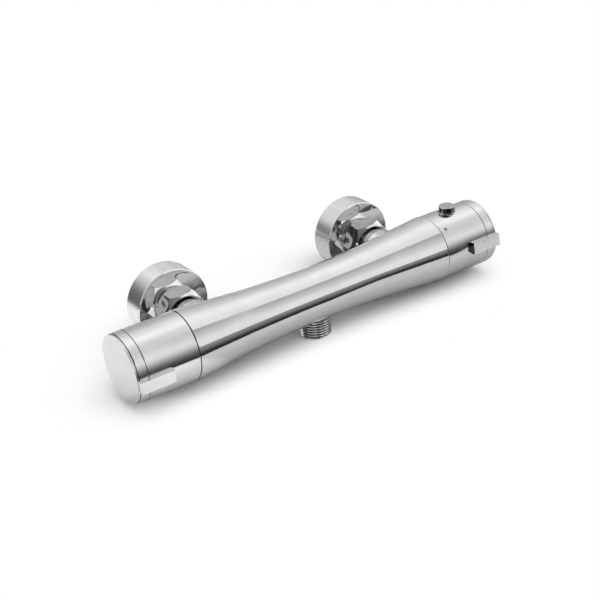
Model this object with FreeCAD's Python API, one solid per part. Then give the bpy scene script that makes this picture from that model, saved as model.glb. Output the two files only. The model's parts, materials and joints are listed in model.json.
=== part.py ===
import FreeCAD, Part
import math
import os

# Exposed thermostatic bar valve for a shower, in millimetres.
#
# The pieces are built about the bar: the bar's axis is X, its middle is the origin, the wall is
# towards +Y and +Z is up. At the end everything is moved into the part's own frame, whose origin
# is on the wall plane, midway between the two wall connections. Hot is at -X and cold at +X.
# u is a distance along the bar from its middle, counted outwards on either side.
# Angles round the bar count up from the front (-Y).

V = FreeCAD.Vector
X = V(1, 0, 0)
Y = V(0, 1, 0)
Z = V(0, 0, 1)
LEFT = -1
RIGHT = 1
FRONT = 0.0
TOP = 90.0
BACK = 180.0
BOTTOM = -90.0

# ---------------------------------------------------------------- driving dimensions

# whole valve
inlet_spacing = 150.0
axis_to_wall = 67.0
union_drop = 6.0                # the wall connections stand this much below the bar's axis
fit = 0.05                      # radial gap of a turned piece in its seat
running = 0.08                  # radial gap of a piece that turns or slides
face_gap = 0.05                 # gap between end faces that turn or slide past each other
overlap = 0.5                   # parts of one piece reach this far into each other
margin = 1.0                    # a cut runs this far past the faces that it opens

# body casting
body_half = 97.0                # from the middle to the seam with each handle
waist_radius = 17.75
waist_arc = 760.0               # radius of the hollow sweep along the bar
waist_half = 60.0               # half length of that sweep, straight from there to the seam
body_edge = 0.4
spigot_length = 6.4             # neck that carries the handle's slide ring
spigot_wall = 4.15              # from the handle's skin down to the spigot
boss_radius = 13.5
boss_reach = 25.0               # from the axis to the face of the inlet boss
outlet_boss_radius = 11.3
outlet_boss_reach = 19.8

# waterways in the body
mixed_bore = 7.4
gallery_floor = 12.6
gallery_roof = 15.8
gallery_half_angle = 38.0
gallery_overrun = 5.0           # the hot gallery reaches this far past the hot inlet's axis
slot_depth = 4.0                # how far a gallery's slot reaches inwards
inlet_bore = 8.0
shank_radius = 10.0
shank_length = 10.0

# handles
seam_gap = 0.4
seam_step = 0.3                 # the body stands proud of the handle by this
handle_wall = 2.35
handle_length = 43.0            # from the seam to the outer face of the end disc
end_ring_length = 8.0           # from the joint line to the outer face of the end disc
ring_groove = 0.3
disc_thickness = 1.4
disc_inset = 0.35               # the end disc is this much smaller than the handle
disc_groove = 0.3
disc_plug_step = 1.0
disc_plug_wall = 1.2
ring_wall = 3.0
register_length = 3.7
handle_edge = 0.35
web_inset = 16.6                # from the outer face of the end disc to the inner face of the web
web_thickness = 3.0
hub_radius = 8.0
neck_reach = 10.0               # the cartridges' necks reach this far past the seam
hub_gap = 4.0                   # from the end of a neck to the hub
square_side = 7.0
stem_shoulder = 0.4             # the round part of a spindle stops this much short of the hub
spindle_short = 1.5             # a spindle's square ends this much inside the hub
square_room = 0.3               # free length past the end of the square
screw_hole_gap = 0.2
slide_ring_inset = 1.2
slide_ring_width = 4.2

# levers
lever_length = 22.8
lever_end_inset = 0.5
lever_height = 8.3              # size round the handle
lever_proud = 3.4
lever_edge = 0.8
lever_peg_radius = 1.5
lever_peg_inset = 2.7           # from the inner end of the lever, and from the end of the sleeve
flow_lever_angle = -4.5
temperature_lever_angle = 4.5

# handle screws
screw_head_radius = 4.2
screw_head_height = 3.2
screw_radius = 2.4
screw_length = 12.0
screw_socket = 2.5              # across flats of the hexagon socket
screw_socket_floor = 0.4        # floor of the socket, as a share of the head's height

# safety button, on the temperature handle
button_to_web = 8.1             # from the button's axis to the inner face of the web
button_angle = 90.0
button_radius = 5.5
button_proud = 4.0
button_wall = 0.9
button_roof = 2.8
button_travel = 2.5
button_rest_gap = 0.2           # left under the skirt when the button is pressed
button_edge = 0.7
button_stem = 1.9
button_foot_radius = 3.2
button_foot_height = 1.0
guide_wall = 0.6
guide_proud = 0.35
guide_flange_radius = 7.4
guide_flange_thickness = 1.8
guide_depth = 3.6               # from the top of the flange to the underside of the floor
guide_floor = 1.6
guide_seat_gap = 0.15

# flow cartridge, on the left; both cartridges are placed inwards from the seam
flow_seat = body_half - 42.0                # where the seal sits in the body
flow_chamber = 11.0
flow_chamber_end = body_half - 31.0
flow_radius = 9.5
flow_head_radius = 12.3
flow_head_seat = body_half - 10.0
flow_head_thickness = 3.0
head_gap = 0.2                  # between the rim of a cartridge's head and the body
seal_thickness = 2.2
seal_lip = 1.0                  # the disc seal reaches this far into the mixed water's bore
ceramic_radius = 8.3
ceramic_thickness = 3.0
ceramic_gap = 0.02
port_inner = 2.0                # the discs' ports are sectors between these two radii
port_outer = 6.3
port_half_angle = 40.0
lug_half_angle = 14.0
lug_depth = 1.5
lug_side_gap = 1.0              # degrees
lug_play = 0.1
pocket_inset = 0.2
driver_height = 3.0
driver_inset = 0.4
driver_gap = 1.0                # between the driver and the housing's neck
flow_wall = 1.1
flow_neck_radius = 8.0
window_width = 5.0
window_half_angle = 30.0
window_inset = 0.5              # from the end of the chamber to the windows
stem_radius = 4.6

# thermostat, on the right
nose_start = body_half - 66.0
hot_bore = 10.9
hot_bore_start = body_half - 57.0
cold_bore = 14.6
cold_bore_start = body_half - 37.0
cold_chamber = 16.4
thermostat_head_seat = body_half - 9.0
thermostat_head_thickness = 2.0
nose_bore = 4.6
thermostat_bore = 8.2
thermostat_bore_start = body_half - 55.0
thermostat_bore_end = body_half - 11.0
hot_neck_wall = 1.4
hot_slot_start = body_half - 50.0
hot_slot_end = body_half - 40.5
land_end = body_half - 31.0
cold_neck_radius = 12.6
cold_slot_start = body_half - 29.5
cold_slot_end = body_half - 23.0
cold_land_start = body_half - 13.0
slot_half_angle = 22.0
thermostat_neck_radius = 9.5
nut_mouth_extra = 1.2           # the ring nut's thread stands this much outside the cartridge bore
nose_gap = 0.5
land_gap = 0.3
wrench_slot_depth = 2.0
wrench_slot_half_angle = 6.0
seal_section = 0.9              # half the cord of the O-rings

# moving core of the thermostat
shuttle_start = body_half - 41.0
shuttle_end = body_half - 29.0
shuttle_wall = 1.6
shuttle_web_start = body_half - 37.0
shuttle_web = 2.0
shuttle_hole_radius = 0.9
wax_radius = 4.3
wax_start = body_half - 47.0
wax_end = body_half - 27.0
wax_pin_radius = 1.5
wax_pin_length = 2.5
wax_edge = 0.6
plate_thickness = 1.5
carrier_start = body_half - 24.8
carrier_end = body_half - 13.0
carrier_floor = 4.0
carrier_wall = 1.7
spindle_foot_radius = 3.9
spindle_foot_reach = 0.4        # the foot reaches this far past the carrier's thread
temperature_stem_extra = 0.4    # the temperature spindle is this much thicker than the flow spindle

# stop rings between body and handles
stop_ring_width = 4.0
stop_ring_wall = 2.6
stop_tooth_height = 3.0
stop_tooth_half_angle = 5.0
stop_tooth_length = 3.0
stop_tooth_rear = 1.0           # part of a tooth's length that the finger doesn't reach
stop_margin = 1.0
finger_half_angle = 5.0
finger_gap = 0.4
flow_turn = 90.0
temperature_turn_cold = 160.0
temperature_turn_hot = 60.0

# inlets: union nut, tailpiece, washer, eccentric union, flange
nut_flats = 29.0
nut_shoulder_gap = 2.3          # from the shoulder of the tailpiece to the nut
nut_length = 16.0
nut_lip = 1.3
nut_face_share = 0.94           # flat face of the nut's end, as a share of its flats
nut_chamfer_angle = 52.0
hot_nut_turn = 3.0
cold_nut_turn = 5.0
tail_shoulder_radius = 12.2
tail_shoulder = 4.2
tail_gasket = 0.8
tail_neck_radius = 9.9
tail_collar_radius = 12.4
tail_collar = 3.1
washer_thickness = 2.0
strainer_thickness = 0.5
strainer_hole = 0.8
strainer_pitch = 2.6
union_thread_radius = 13.22     # 3/4 inch pipe thread
union_bore = 9.0
union_wall_bore = 7.8
wall_thread_radius = 10.48      # 1/2 inch pipe thread
wall_thread_reach = 14.0        # beyond the wall plane
thread_edge = 0.8
wall_bore_reach = 2.5           # the wall bore reaches this far into the shoulder
tail_seal_inset = 0.2
union_shoulder_radius = 17.0
union_shoulder = 4.0
union_shoulder_gap = 3.0        # from the inside of the flange's front to the shoulder
flange_radius = 25.5
flange_depth = 17.0
flange_wall = 1.2
flange_front = 1.5
flange_edge = 0.8
flange_hub_wall = 1.8
flange_hub_gap = 0.3
flange_seal_width = 3.0
flange_seal_thickness = 1.5

# check valves in the tailpieces
cage_radius = 8.1
cage_wall = 1.2
cage_length = 14.0
cage_seat = 2.0
cage_seat_bore = 5.0
cage_spider = 1.5
cage_hub_wall = 1.4
cage_arm = 1.6
poppet_radius = 6.2
poppet_thickness = 2.0
poppet_stem = 1.5
poppet_tail = 0.5               # the stem stands this far out of the cage
poppet_nose_gap = 0.5

# outlet
outlet_thread_radius = 10.48    # 1/2 inch pipe thread
outlet_end = 28.0               # from the bar's axis
outlet_relief_radius = 9.5
outlet_relief = 0.8
outlet_relief_slope = 0.5
outlet_stem_radius = 8.9
outlet_stem_length = 4.0
outlet_bore = 7.3
outlet_seal_thickness = 0.9
outlet_seal_depth = 2.4         # from the face of the boss to the far side of the seal

# springs: wire radius, mean coil radius
overload_spring = (0.5, 5.3)
return_spring = (0.6, 6.9)
button_spring = (0.3, 3.7)
check_spring = (0.35, 3.2)
overload_turns = 3
return_turns = 4
button_turns = 5
check_turns = 5
spring_end_gap = 0.05

# ---------------------------------------------------------------- sizes that follow

inlet_x = inlet_spacing / 2
waist_end_slope = waist_half / math.sqrt(waist_arc ** 2 - waist_half ** 2)
waist_end_radius = waist_radius + waist_arc - math.sqrt(waist_arc ** 2 - waist_half ** 2)
body_end_radius = waist_end_radius + waist_end_slope * (body_half - waist_half)
handle_radius = body_end_radius - seam_step
handle_bore = handle_radius - handle_wall
spigot_radius = handle_radius - spigot_wall
spigot_end = body_half + spigot_length
handle_start = body_half + seam_gap
bar_half = body_half + handle_length
ring_joint = bar_half - end_ring_length
ring_start = ring_joint + ring_groove
disc_start = bar_half - disc_thickness
ring_end = disc_start - disc_groove
web_start = bar_half - web_inset
web_end = web_start + web_thickness
neck_end = body_half + neck_reach
hub_start = neck_end + hub_gap
spindle_end = web_end - spindle_short
button_place = web_start - button_to_web
nut_start = boss_reach + tail_gasket + tail_shoulder + nut_shoulder_gap
nut_end = nut_start + nut_length
union_face = nut_start + nut_lip + face_gap + tail_collar + washer_thickness
flange_face = axis_to_wall - flange_depth
union_shoulder_start = flange_face + flange_front + union_shoulder_gap
thermostat_mouth = cold_bore + nut_mouth_extra
flow_mouth = flow_head_radius + head_gap


# ---------------------------------------------------------------- helpers

def outward(solid):
    """The same solid with its faces pointing outwards."""
    if solid.Volume < 0:
        solid.reverse()
    return solid


def turned(side, profile):
    """Closed outline of (u, radius) corners, turned about the bar's axis on one side of the bar."""
    corners = [V(side * u, -radius, 0) for u, radius in profile]
    face = Part.Face(Part.makePolygon(corners + corners[:1]))
    return outward(face.revolve(V(0, 0, 0), X, 360))


def tube(side, start, end, outer, inner=0.0):
    return turned(side, [(start, inner), (end, inner), (end, outer), (start, outer)])


def inlet_turned(side, profile):
    """Closed outline of (y, radius) corners, turned about one inlet's axis."""
    corners = [V(side * inlet_x + radius, y, 0) for y, radius in profile]
    face = Part.Face(Part.makePolygon(corners + corners[:1]))
    return outward(face.revolve(V(side * inlet_x, 0, 0), Y, 360))


def inlet_tube(side, start, end, outer, inner=0.0):
    return inlet_turned(side, [(start, inner), (end, inner), (end, outer), (start, outer)])


def sector(side, start, end, inner, outer, middle, half_angle):
    """Part of a tube round the bar, centred on the angle middle."""
    corners = [V(side * u, -radius, 0) for u, radius in
               ((start, inner), (end, inner), (end, outer), (start, outer))]
    face = Part.Face(Part.makePolygon(corners + corners[:1]))
    swept = outward(face.revolve(V(0, 0, 0), X, 2 * half_angle))
    return round_bar(swept, middle + half_angle)


def round_bar(shape, angle):
    """Turn a copy of a shape that is drawn at the front up to the given angle round the bar."""
    copy = shape.copy()
    copy.rotate(V(0, 0, 0), X, -angle)
    return copy


def upright(shape, side, place, angle):
    """Move a shape drawn about Z onto the bar at u = place, pointing out at the given angle."""
    copy = shape.copy()
    copy.translate(V(side * place, 0, 0))
    copy.rotate(V(0, 0, 0), X, TOP - angle)
    return copy


def rod(start, end, outer, inner=0.0):
    """Tube about Z."""
    solid = Part.makeCylinder(outer, end - start, V(0, 0, start))
    if inner > 0:
        solid = solid.cut(Part.makeCylinder(inner, end - start, V(0, 0, start)))
    return solid


def hexagon(across_flats, length):
    """Hexagonal prism about Z."""
    corner = across_flats / 2 / math.cos(math.radians(30))
    points = [V(corner * math.cos(math.radians(60 * k)), corner * math.sin(math.radians(60 * k)), 0)
              for k in range(7)]
    return Part.Face(Part.makePolygon(points)).extrude(V(0, 0, length))


def end_edges(shape, wanted):
    """Edges whose middle point passes the test."""
    found = []
    for edge in shape.Edges:
        middle = edge.valueAt((edge.FirstParameter + edge.LastParameter) / 2)
        if wanted(edge, middle):
            found.append(edge)
    return found


def circle_at(u, radius):
    """Test for the full circles round the bar at one place and radius."""
    def wanted(edge, middle):
        return (abs(abs(middle.x) - u) < 1e-6
                and abs(math.hypot(middle.y, middle.z) - radius) < 1e-6)
    return wanted


def arc_between(start, tangent, end):
    """Arc that leaves start along tangent and reaches end."""
    chord = end - start
    length = chord.Length
    along = chord / length
    sideways = tangent - along * tangent.dot(along)
    turn = math.atan2(sideways.Length, tangent.dot(along))
    sideways.normalize()
    middle = (start + end) * 0.5 + sideways * (length / 2 * math.tan(turn / 2))
    return Part.Arc(start, middle, end).toShape()


def coil(name, sizes, turns, length):
    """Open helical spring about Z, from z = 0 to length, as one unbroken wire on biarcs."""
    wire_radius, mean_radius = sizes
    climb = length - 2 * wire_radius
    steps = 4 * turns
    slope = climb / turns / (2 * math.pi)

    def point(k):
        turn = math.pi / 2 * k
        return V(mean_radius * math.cos(turn), mean_radius * math.sin(turn),
                 wire_radius + climb * k / steps)

    def tangent(k):
        turn = math.pi / 2 * k
        direction = V(-mean_radius * math.sin(turn), mean_radius * math.cos(turn), slope)
        return direction.normalize()

    edges = []
    for k in range(steps):
        p0, p1, t0, t1 = point(k), point(k + 1), tangent(k), tangent(k + 1)
        gap = p1 - p0
        both = t0 + t1
        a = 2 * (1 - t0.dot(t1))
        b = 2 * gap.dot(both)
        reach = (-b + math.sqrt(b * b + 4 * a * gap.dot(gap))) / (2 * a)
        meet = (p0 + t0 * reach + p1 - t1 * reach) * 0.5
        edges.append(arc_between(p0, t0, meet))
        middle_tangent = (p1 - t1 * reach - p0 - t0 * reach).normalize()
        edges.append(arc_between(meet, middle_tangent, p1))
    path = Part.Wire(edges)
    section = Part.Wire([Part.makeCircle(wire_radius, point(0), tangent(0))])
    solid = path.makePipeShell([section], True, False)
    print(name, "least gap between turns %.2f mm" % turn_gap(path, turns, wire_radius))
    return outward(Part.Solid(solid) if solid.ShapeType != "Solid" else solid)


def turn_gap(path, turns, wire_radius):
    """Least gap between neighbouring turns of a wire, measured on points along its middle line."""
    per_turn = 48
    points = path.discretize(Number=per_turn * turns + 1)
    nearest = min(points[k].distanceToPoint(points[j]) for k in range(len(points))
                  for j in range(k + per_turn // 2, len(points)))
    return nearest - 2 * wire_radius


def o_ring(middle, mean_radius):
    return Part.makeTorus(mean_radius, seal_section, V(middle, 0, 0), X)


# ---------------------------------------------------------------- body

def body_casting():
    shoulder = Part.LineSegment(V(-body_half, -body_end_radius, 0), V(-waist_half, -waist_end_radius, 0))
    sweep = Part.Arc(V(-waist_half, -waist_end_radius, 0), V(0, -waist_radius, 0),
                     V(waist_half, -waist_end_radius, 0))
    far_shoulder = Part.LineSegment(V(waist_half, -waist_end_radius, 0), V(body_half, -body_end_radius, 0))
    far_end = Part.LineSegment(V(body_half, -body_end_radius, 0), V(body_half, 0, 0))
    centre = Part.LineSegment(V(body_half, 0, 0), V(-body_half, 0, 0))
    near_end = Part.LineSegment(V(-body_half, 0, 0), V(-body_half, -body_end_radius, 0))
    outline = Part.Wire([piece.toShape() for piece in
                         (shoulder, sweep, far_shoulder, far_end, centre, near_end)])
    body = outward(Part.Face(outline).revolve(V(0, 0, 0), X, 360))
    body = body.makeFillet(body_edge, end_edges(body, circle_at(body_half, body_end_radius)))
    for side in (LEFT, RIGHT):
        boss = inlet_tube(side, 0, boss_reach, boss_radius)
        spigot = tube(side, body_half - margin, spigot_end, spigot_radius)
        body = body.fuse([boss, spigot])
    body = body.fuse(Part.makeCylinder(outlet_boss_radius, outlet_boss_reach, V(0, 0, 0), V(0, 0, -1)))
    return body.cut(waterways()).removeSplitter()


def waterways():
    """Everything that is drilled or cored out of the body."""
    holes = [tube(LEFT, -hot_bore_start - margin, flow_seat, mixed_bore),
             tube(LEFT, flow_seat, flow_chamber_end, flow_chamber),
             tube(LEFT, flow_chamber_end - margin, flow_head_seat, flow_radius + fit),
             tube(LEFT, flow_head_seat, spigot_end + margin, flow_mouth),
             tube(RIGHT, hot_bore_start, cold_bore_start, hot_bore),
             tube(RIGHT, cold_bore_start, thermostat_head_seat, cold_bore),
             tube(RIGHT, inlet_x - inlet_bore, inlet_x + inlet_bore, cold_chamber),
             tube(RIGHT, thermostat_head_seat, spigot_end + margin, thermostat_mouth)]
    # the hot gallery runs along the back from the hot inlet to the thermostat
    gallery_start = -inlet_x - gallery_overrun
    holes.append(sector(RIGHT, gallery_start, hot_slot_end, gallery_floor, gallery_roof, BACK,
                        gallery_half_angle))
    holes.append(sector(RIGHT, hot_slot_start, hot_slot_end, gallery_floor - slot_depth, gallery_roof,
                        BACK, gallery_half_angle))
    # the outlet gallery runs along the bottom from the flow cartridge to the outlet
    gallery_end = flow_chamber_end - margin
    holes.append(sector(LEFT, -outlet_stem_radius, gallery_end, gallery_floor, gallery_roof, BOTTOM,
                        gallery_half_angle))
    slot_start = flow_seat + seal_thickness
    slot_floor = gallery_floor - slot_depth
    holes.append(sector(LEFT, slot_start, gallery_end, slot_floor, gallery_roof, BOTTOM,
                        gallery_half_angle))
    for side in (LEFT, RIGHT):
        shank_end = boss_reach - shank_length
        holes.append(inlet_tube(side, shank_end, boss_reach + margin, shank_radius + fit))
        holes.append(inlet_tube(side, gallery_floor, boss_reach, inlet_bore))
    holes.append(rod(-outlet_boss_reach - margin, -gallery_floor, outlet_stem_radius + fit))
    return holes


def outlet_nipple():
    """Threaded outlet, screwed into the boss under the middle of the bar."""
    stem_top = outlet_boss_reach - outlet_stem_length
    groove_top = outlet_boss_reach - outlet_seal_depth
    groove_floor = outlet_stem_radius - outlet_seal_thickness
    thread_top = outlet_boss_reach + outlet_relief
    profile = [(stem_top, outlet_bore), (stem_top, outlet_stem_radius),
               (groove_top, outlet_stem_radius), (groove_top, groove_floor),
               (groove_top + 2 * outlet_seal_thickness, groove_floor),
               (groove_top + 2 * outlet_seal_thickness, outlet_stem_radius),
               (outlet_boss_reach, outlet_stem_radius),
               (outlet_boss_reach, outlet_relief_radius), (thread_top, outlet_relief_radius),
               (thread_top + outlet_relief_slope, outlet_thread_radius),
               (outlet_end - thread_edge, outlet_thread_radius),
               (outlet_end, outlet_thread_radius - thread_edge), (outlet_end, outlet_bore)]
    corners = [V(radius, 0, -depth) for depth, radius in profile]
    face = Part.Face(Part.makePolygon(corners + corners[:1]))
    return outward(face.revolve(V(0, 0, 0), Z, 360))


def outlet_seal():
    top = outlet_boss_reach - outlet_seal_depth
    outer = outlet_stem_radius + fit / 2
    return rod(-top - 2 * outlet_seal_thickness, -top, outer, outlet_stem_radius - outlet_seal_thickness)


# ---------------------------------------------------------------- handles

def slide_ring(side):
    start = body_half + slide_ring_inset
    return tube(side, start, start + slide_ring_width, handle_bore - running, spigot_radius + fit)


def handle_sleeve(side, finger_angle, button_hole):
    """Shell with a web and a hub that grips the square of the spindle."""
    sleeve = tube(side, handle_start, ring_joint, handle_radius, handle_bore)
    edges = end_edges(sleeve, circle_at(handle_start, handle_radius))
    edges += end_edges(sleeve, circle_at(ring_joint, handle_radius))
    sleeve = sleeve.makeFillet(handle_edge, edges)
    web = tube(side, web_start, web_end, handle_bore + overlap, screw_radius + screw_hole_gap)
    hub = tube(side, hub_start, web_end, hub_radius, screw_radius + screw_hole_gap)
    finger_inner = tooth_ring_radius(side) + finger_gap
    finger = sector(side, neck_end - stop_tooth_length + stop_tooth_rear, web_start + overlap, finger_inner,
                    finger_inner + stop_tooth_height - 2 * finger_gap, finger_angle, finger_half_angle)
    sleeve = sleeve.fuse([web, hub, finger])
    square = square_bar(side, hub_start - margin, spindle_end + square_room, square_side + 2 * fit)
    holes = [square]
    for peg in lever_peg_places():
        drill = rod(handle_bore - margin, handle_radius + margin, lever_peg_radius + fit)
        angle = flow_lever_angle if side == LEFT else temperature_lever_angle
        holes.append(upright(drill, side, peg, angle))
    if button_hole:
        drill = rod(guide_low(), handle_radius + margin, button_radius + running + guide_wall + fit)
        holes.append(upright(drill, side, button_place, button_angle))
    return sleeve.cut(holes)


def lever_peg_places():
    inner = bar_half - lever_end_inset - lever_length
    return (inner + lever_peg_inset, ring_joint - lever_peg_inset)


def square_bar(side, start, end, width):
    low = min(side * start, side * end)
    return Part.makeBox(end - start, width, width, V(low, -width / 2, -width / 2))


def end_ring(side):
    """Ring that closes the open end of the sleeve, with a register inside it."""
    inner = handle_radius - ring_wall - handle_wall
    register = handle_bore - fit
    profile = [(ring_start, handle_radius), (ring_end, handle_radius), (ring_end, inner),
               (ring_start - register_length, inner), (ring_start - register_length, register),
               (ring_start, register)]
    ring = turned(side, profile)
    edges = end_edges(ring, circle_at(ring_start, handle_radius))
    edges += end_edges(ring, circle_at(ring_end, handle_radius))
    ring = ring.makeFillet(handle_edge, edges)
    return ring


def end_disc(side):
    """Flat disc on the end, with a plug that snaps into the ring."""
    plug = handle_radius - ring_wall - handle_wall - fit
    rim = handle_radius - disc_inset
    step = plug + disc_plug_step
    plug_bore = plug - disc_plug_wall
    profile = [(bar_half, 0), (bar_half, rim), (disc_start, rim), (disc_start, step),
               (ring_end + face_gap, step), (ring_end + face_gap, plug), (ring_start, plug),
               (ring_start, plug_bore), (disc_start, plug_bore), (disc_start, 0)]
    disc = turned(side, profile)
    return disc.makeFillet(handle_edge, end_edges(disc, circle_at(bar_half, rim)))


def lever(side, angle):
    """Square tab on the front of a handle, held by two pegs through the sleeve."""
    end = bar_half - lever_end_inset
    start = end - lever_length
    face = handle_radius + lever_proud
    block = Part.makeBox(lever_length, face - handle_bore, lever_height,
                         V(start if side == RIGHT else -end, -face, -lever_height / 2))
    block = block.cut(tube(side, start - margin, end + margin, handle_radius + fit / 2, 0))

    def face_edge(edge, middle):
        return -middle.y > handle_radius + lever_proud / 2

    block = block.makeFillet(lever_edge, end_edges(block, face_edge))
    block = round_bar(block, angle)
    pegs = []
    for place in lever_peg_places():
        peg = rod(handle_bore + fit, handle_radius + lever_proud / 2, lever_peg_radius)
        pegs.append(upright(peg, side, place, angle))
    return block.fuse(pegs)


def handle_screw(side):
    """Socket head screw through the hub into the end of the spindle."""
    head = tube(side, web_end, web_end + screw_head_height, screw_head_radius)
    shank = tube(side, web_end - screw_length, web_end + overlap, screw_radius)
    socket = hexagon(screw_socket, screw_head_height)
    socket.rotate(V(0, 0, 0), Y, 90)
    if side == LEFT:
        socket.translate(V(-screw_head_height, 0, 0))
    socket.translate(V(side * (web_end + screw_head_height * screw_socket_floor), 0, 0))
    return head.fuse(shank).cut(socket)


# ---------------------------------------------------------------- stop rings

def tooth_ring_radius(side):
    neck = thermostat_neck_radius if side == RIGHT else flow_neck_radius
    return neck + stop_ring_wall


def stop_ring(side, tooth_angles):
    """Ring fixed on the cartridge's neck, whose teeth end the handle's turn."""
    neck = thermostat_neck_radius if side == RIGHT else flow_neck_radius
    start = neck_end - stop_ring_width
    outer = neck + stop_ring_wall
    ring = tube(side, start, neck_end, outer, neck + fit)
    teeth = [sector(side, neck_end - stop_tooth_length, neck_end, outer - overlap,
                    outer + stop_tooth_height, angle, stop_tooth_half_angle) for angle in tooth_angles]
    return ring.fuse(teeth)


def tooth_clear():
    return finger_half_angle + stop_tooth_half_angle + stop_margin


# ---------------------------------------------------------------- safety button

def button_guide():
    """Collar that the button slides in, held under the handle's skin."""
    bore = button_radius + running
    outer = bore + guide_wall
    low = guide_low()
    flange_top = guide_flange_top()
    collar = rod(low, handle_radius + guide_proud, outer, bore)
    flange = rod(flange_top - guide_flange_thickness, flange_top, guide_flange_radius, bore)
    floor = rod(low, low + guide_floor, outer, button_stem + running)
    guide = collar.fuse([flange, floor])
    return upright(guide, RIGHT, button_place, button_angle)


def guide_flange_top():
    """The flat flange bears on the sleeve's round bore with its rim."""
    return math.sqrt(handle_bore ** 2 - guide_flange_radius ** 2) - fit


def guide_low():
    return guide_flange_top() - guide_depth


def safety_button():
    """Cap with a spring pocket, a stem and a foot that keeps it in its guide."""
    top = handle_radius + button_proud
    skirt = guide_low() + guide_floor + button_travel + button_rest_gap
    cap = rod(skirt, top, button_radius)
    rim = end_edges(cap, lambda edge, middle: abs(middle.z - top) < 1e-6)
    cap = cap.makeFillet(button_edge, rim)
    cap = cap.cut(rod(skirt - margin, top - button_roof, button_radius - button_wall))
    foot_top = guide_low() - guide_seat_gap
    stem = rod(foot_top - button_foot_height, top - button_roof + overlap, button_stem)
    foot = rod(foot_top - button_foot_height, foot_top, button_foot_radius)
    button = cap.fuse([stem, foot])
    return upright(button, RIGHT, button_place, button_angle)


def button_coil():
    low = guide_low() + guide_floor + spring_end_gap
    high = handle_radius + button_proud - button_roof - spring_end_gap
    spring = coil("button spring", button_spring, button_turns, high - low)
    spring.translate(V(0, 0, low))
    return upright(spring, RIGHT, button_place, button_angle)


# ---------------------------------------------------------------- flow cartridge

disc_seat = flow_seat + seal_thickness
moving_disc_start = disc_seat + ceramic_thickness + ceramic_gap
driver_start = moving_disc_start + ceramic_thickness
driver_end = driver_start + driver_height


def disc_seal():
    return tube(LEFT, flow_seat, disc_seat, ceramic_radius, mixed_bore - seal_lip)


def ceramic_disc(start, port_angles, pocket_angles=()):
    """Ceramic disc with two sector ports, and pockets for the spindle's lugs if it turns."""
    end = start + ceramic_thickness
    disc = tube(LEFT, start, end, ceramic_radius)
    ports = [sector(LEFT, start - margin, end + margin, port_inner, port_outer, angle, port_half_angle)
             for angle in port_angles]
    pockets = [sector(LEFT, end - lug_depth - face_gap, end + margin, port_inner + pocket_inset,
                      port_outer - pocket_inset, angle, lug_half_angle + lug_side_gap)
               for angle in pocket_angles]
    return disc.cut(ports + pockets)


def flow_housing():
    """Brass shell with side windows, a head that seats in the body and a neck for the spindle."""
    shell_bore = flow_radius - flow_wall
    neck_start = driver_end + driver_gap
    profile = [(disc_seat, shell_bore), (disc_seat, flow_radius), (flow_head_seat, flow_radius),
               (flow_head_seat, flow_head_radius), (flow_head_seat + flow_head_thickness, flow_head_radius),
               (flow_head_seat + flow_head_thickness, flow_neck_radius), (neck_end, flow_neck_radius),
               (neck_end, stem_radius + running), (neck_start, stem_radius + running),
               (neck_start, shell_bore)]
    housing = turned(LEFT, profile)
    window_end = flow_chamber_end - window_inset
    windows = [sector(LEFT, window_end - window_width, window_end, shell_bore - margin,
                      flow_radius + margin, angle, window_half_angle)
               for angle in (FRONT, 120.0, 240.0)]
    return housing.cut(windows)


def flow_spindle():
    """Stem with two arms whose lugs turn the moving disc, and a square that carries the handle."""
    stem = tube(LEFT, driver_start + face_gap, hub_start - stem_shoulder, stem_radius)
    arms = []
    for angle in (FRONT, BACK):
        arms.append(sector(LEFT, driver_start + face_gap, driver_end, port_inner,
                           ceramic_radius - driver_inset, angle, lug_half_angle))
        arms.append(sector(LEFT, driver_start - lug_depth, driver_start + overlap,
                           port_inner + pocket_inset + lug_play, port_outer - pocket_inset - lug_play,
                           angle, lug_half_angle))
    square = square_bar(LEFT, hub_start - margin, spindle_end, square_side)
    spindle = stem.fuse([square] + arms)
    return spindle.cut(screw_hole(LEFT))


def screw_hole(side):
    return tube(side, web_end - screw_length - margin, spindle_end + margin, screw_radius + fit)


def ring_nut(side, start, end, outer, inner):
    """Ring nut with slots for a pin wrench."""
    ring = tube(side, start, end, outer, inner)
    slots = [sector(side, end - wrench_slot_depth, end + margin, inner - margin, outer + margin, angle,
                    wrench_slot_half_angle) for angle in (45, 135, 225, 315)]
    return ring.cut(slots)


# ---------------------------------------------------------------- thermostat

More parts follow.
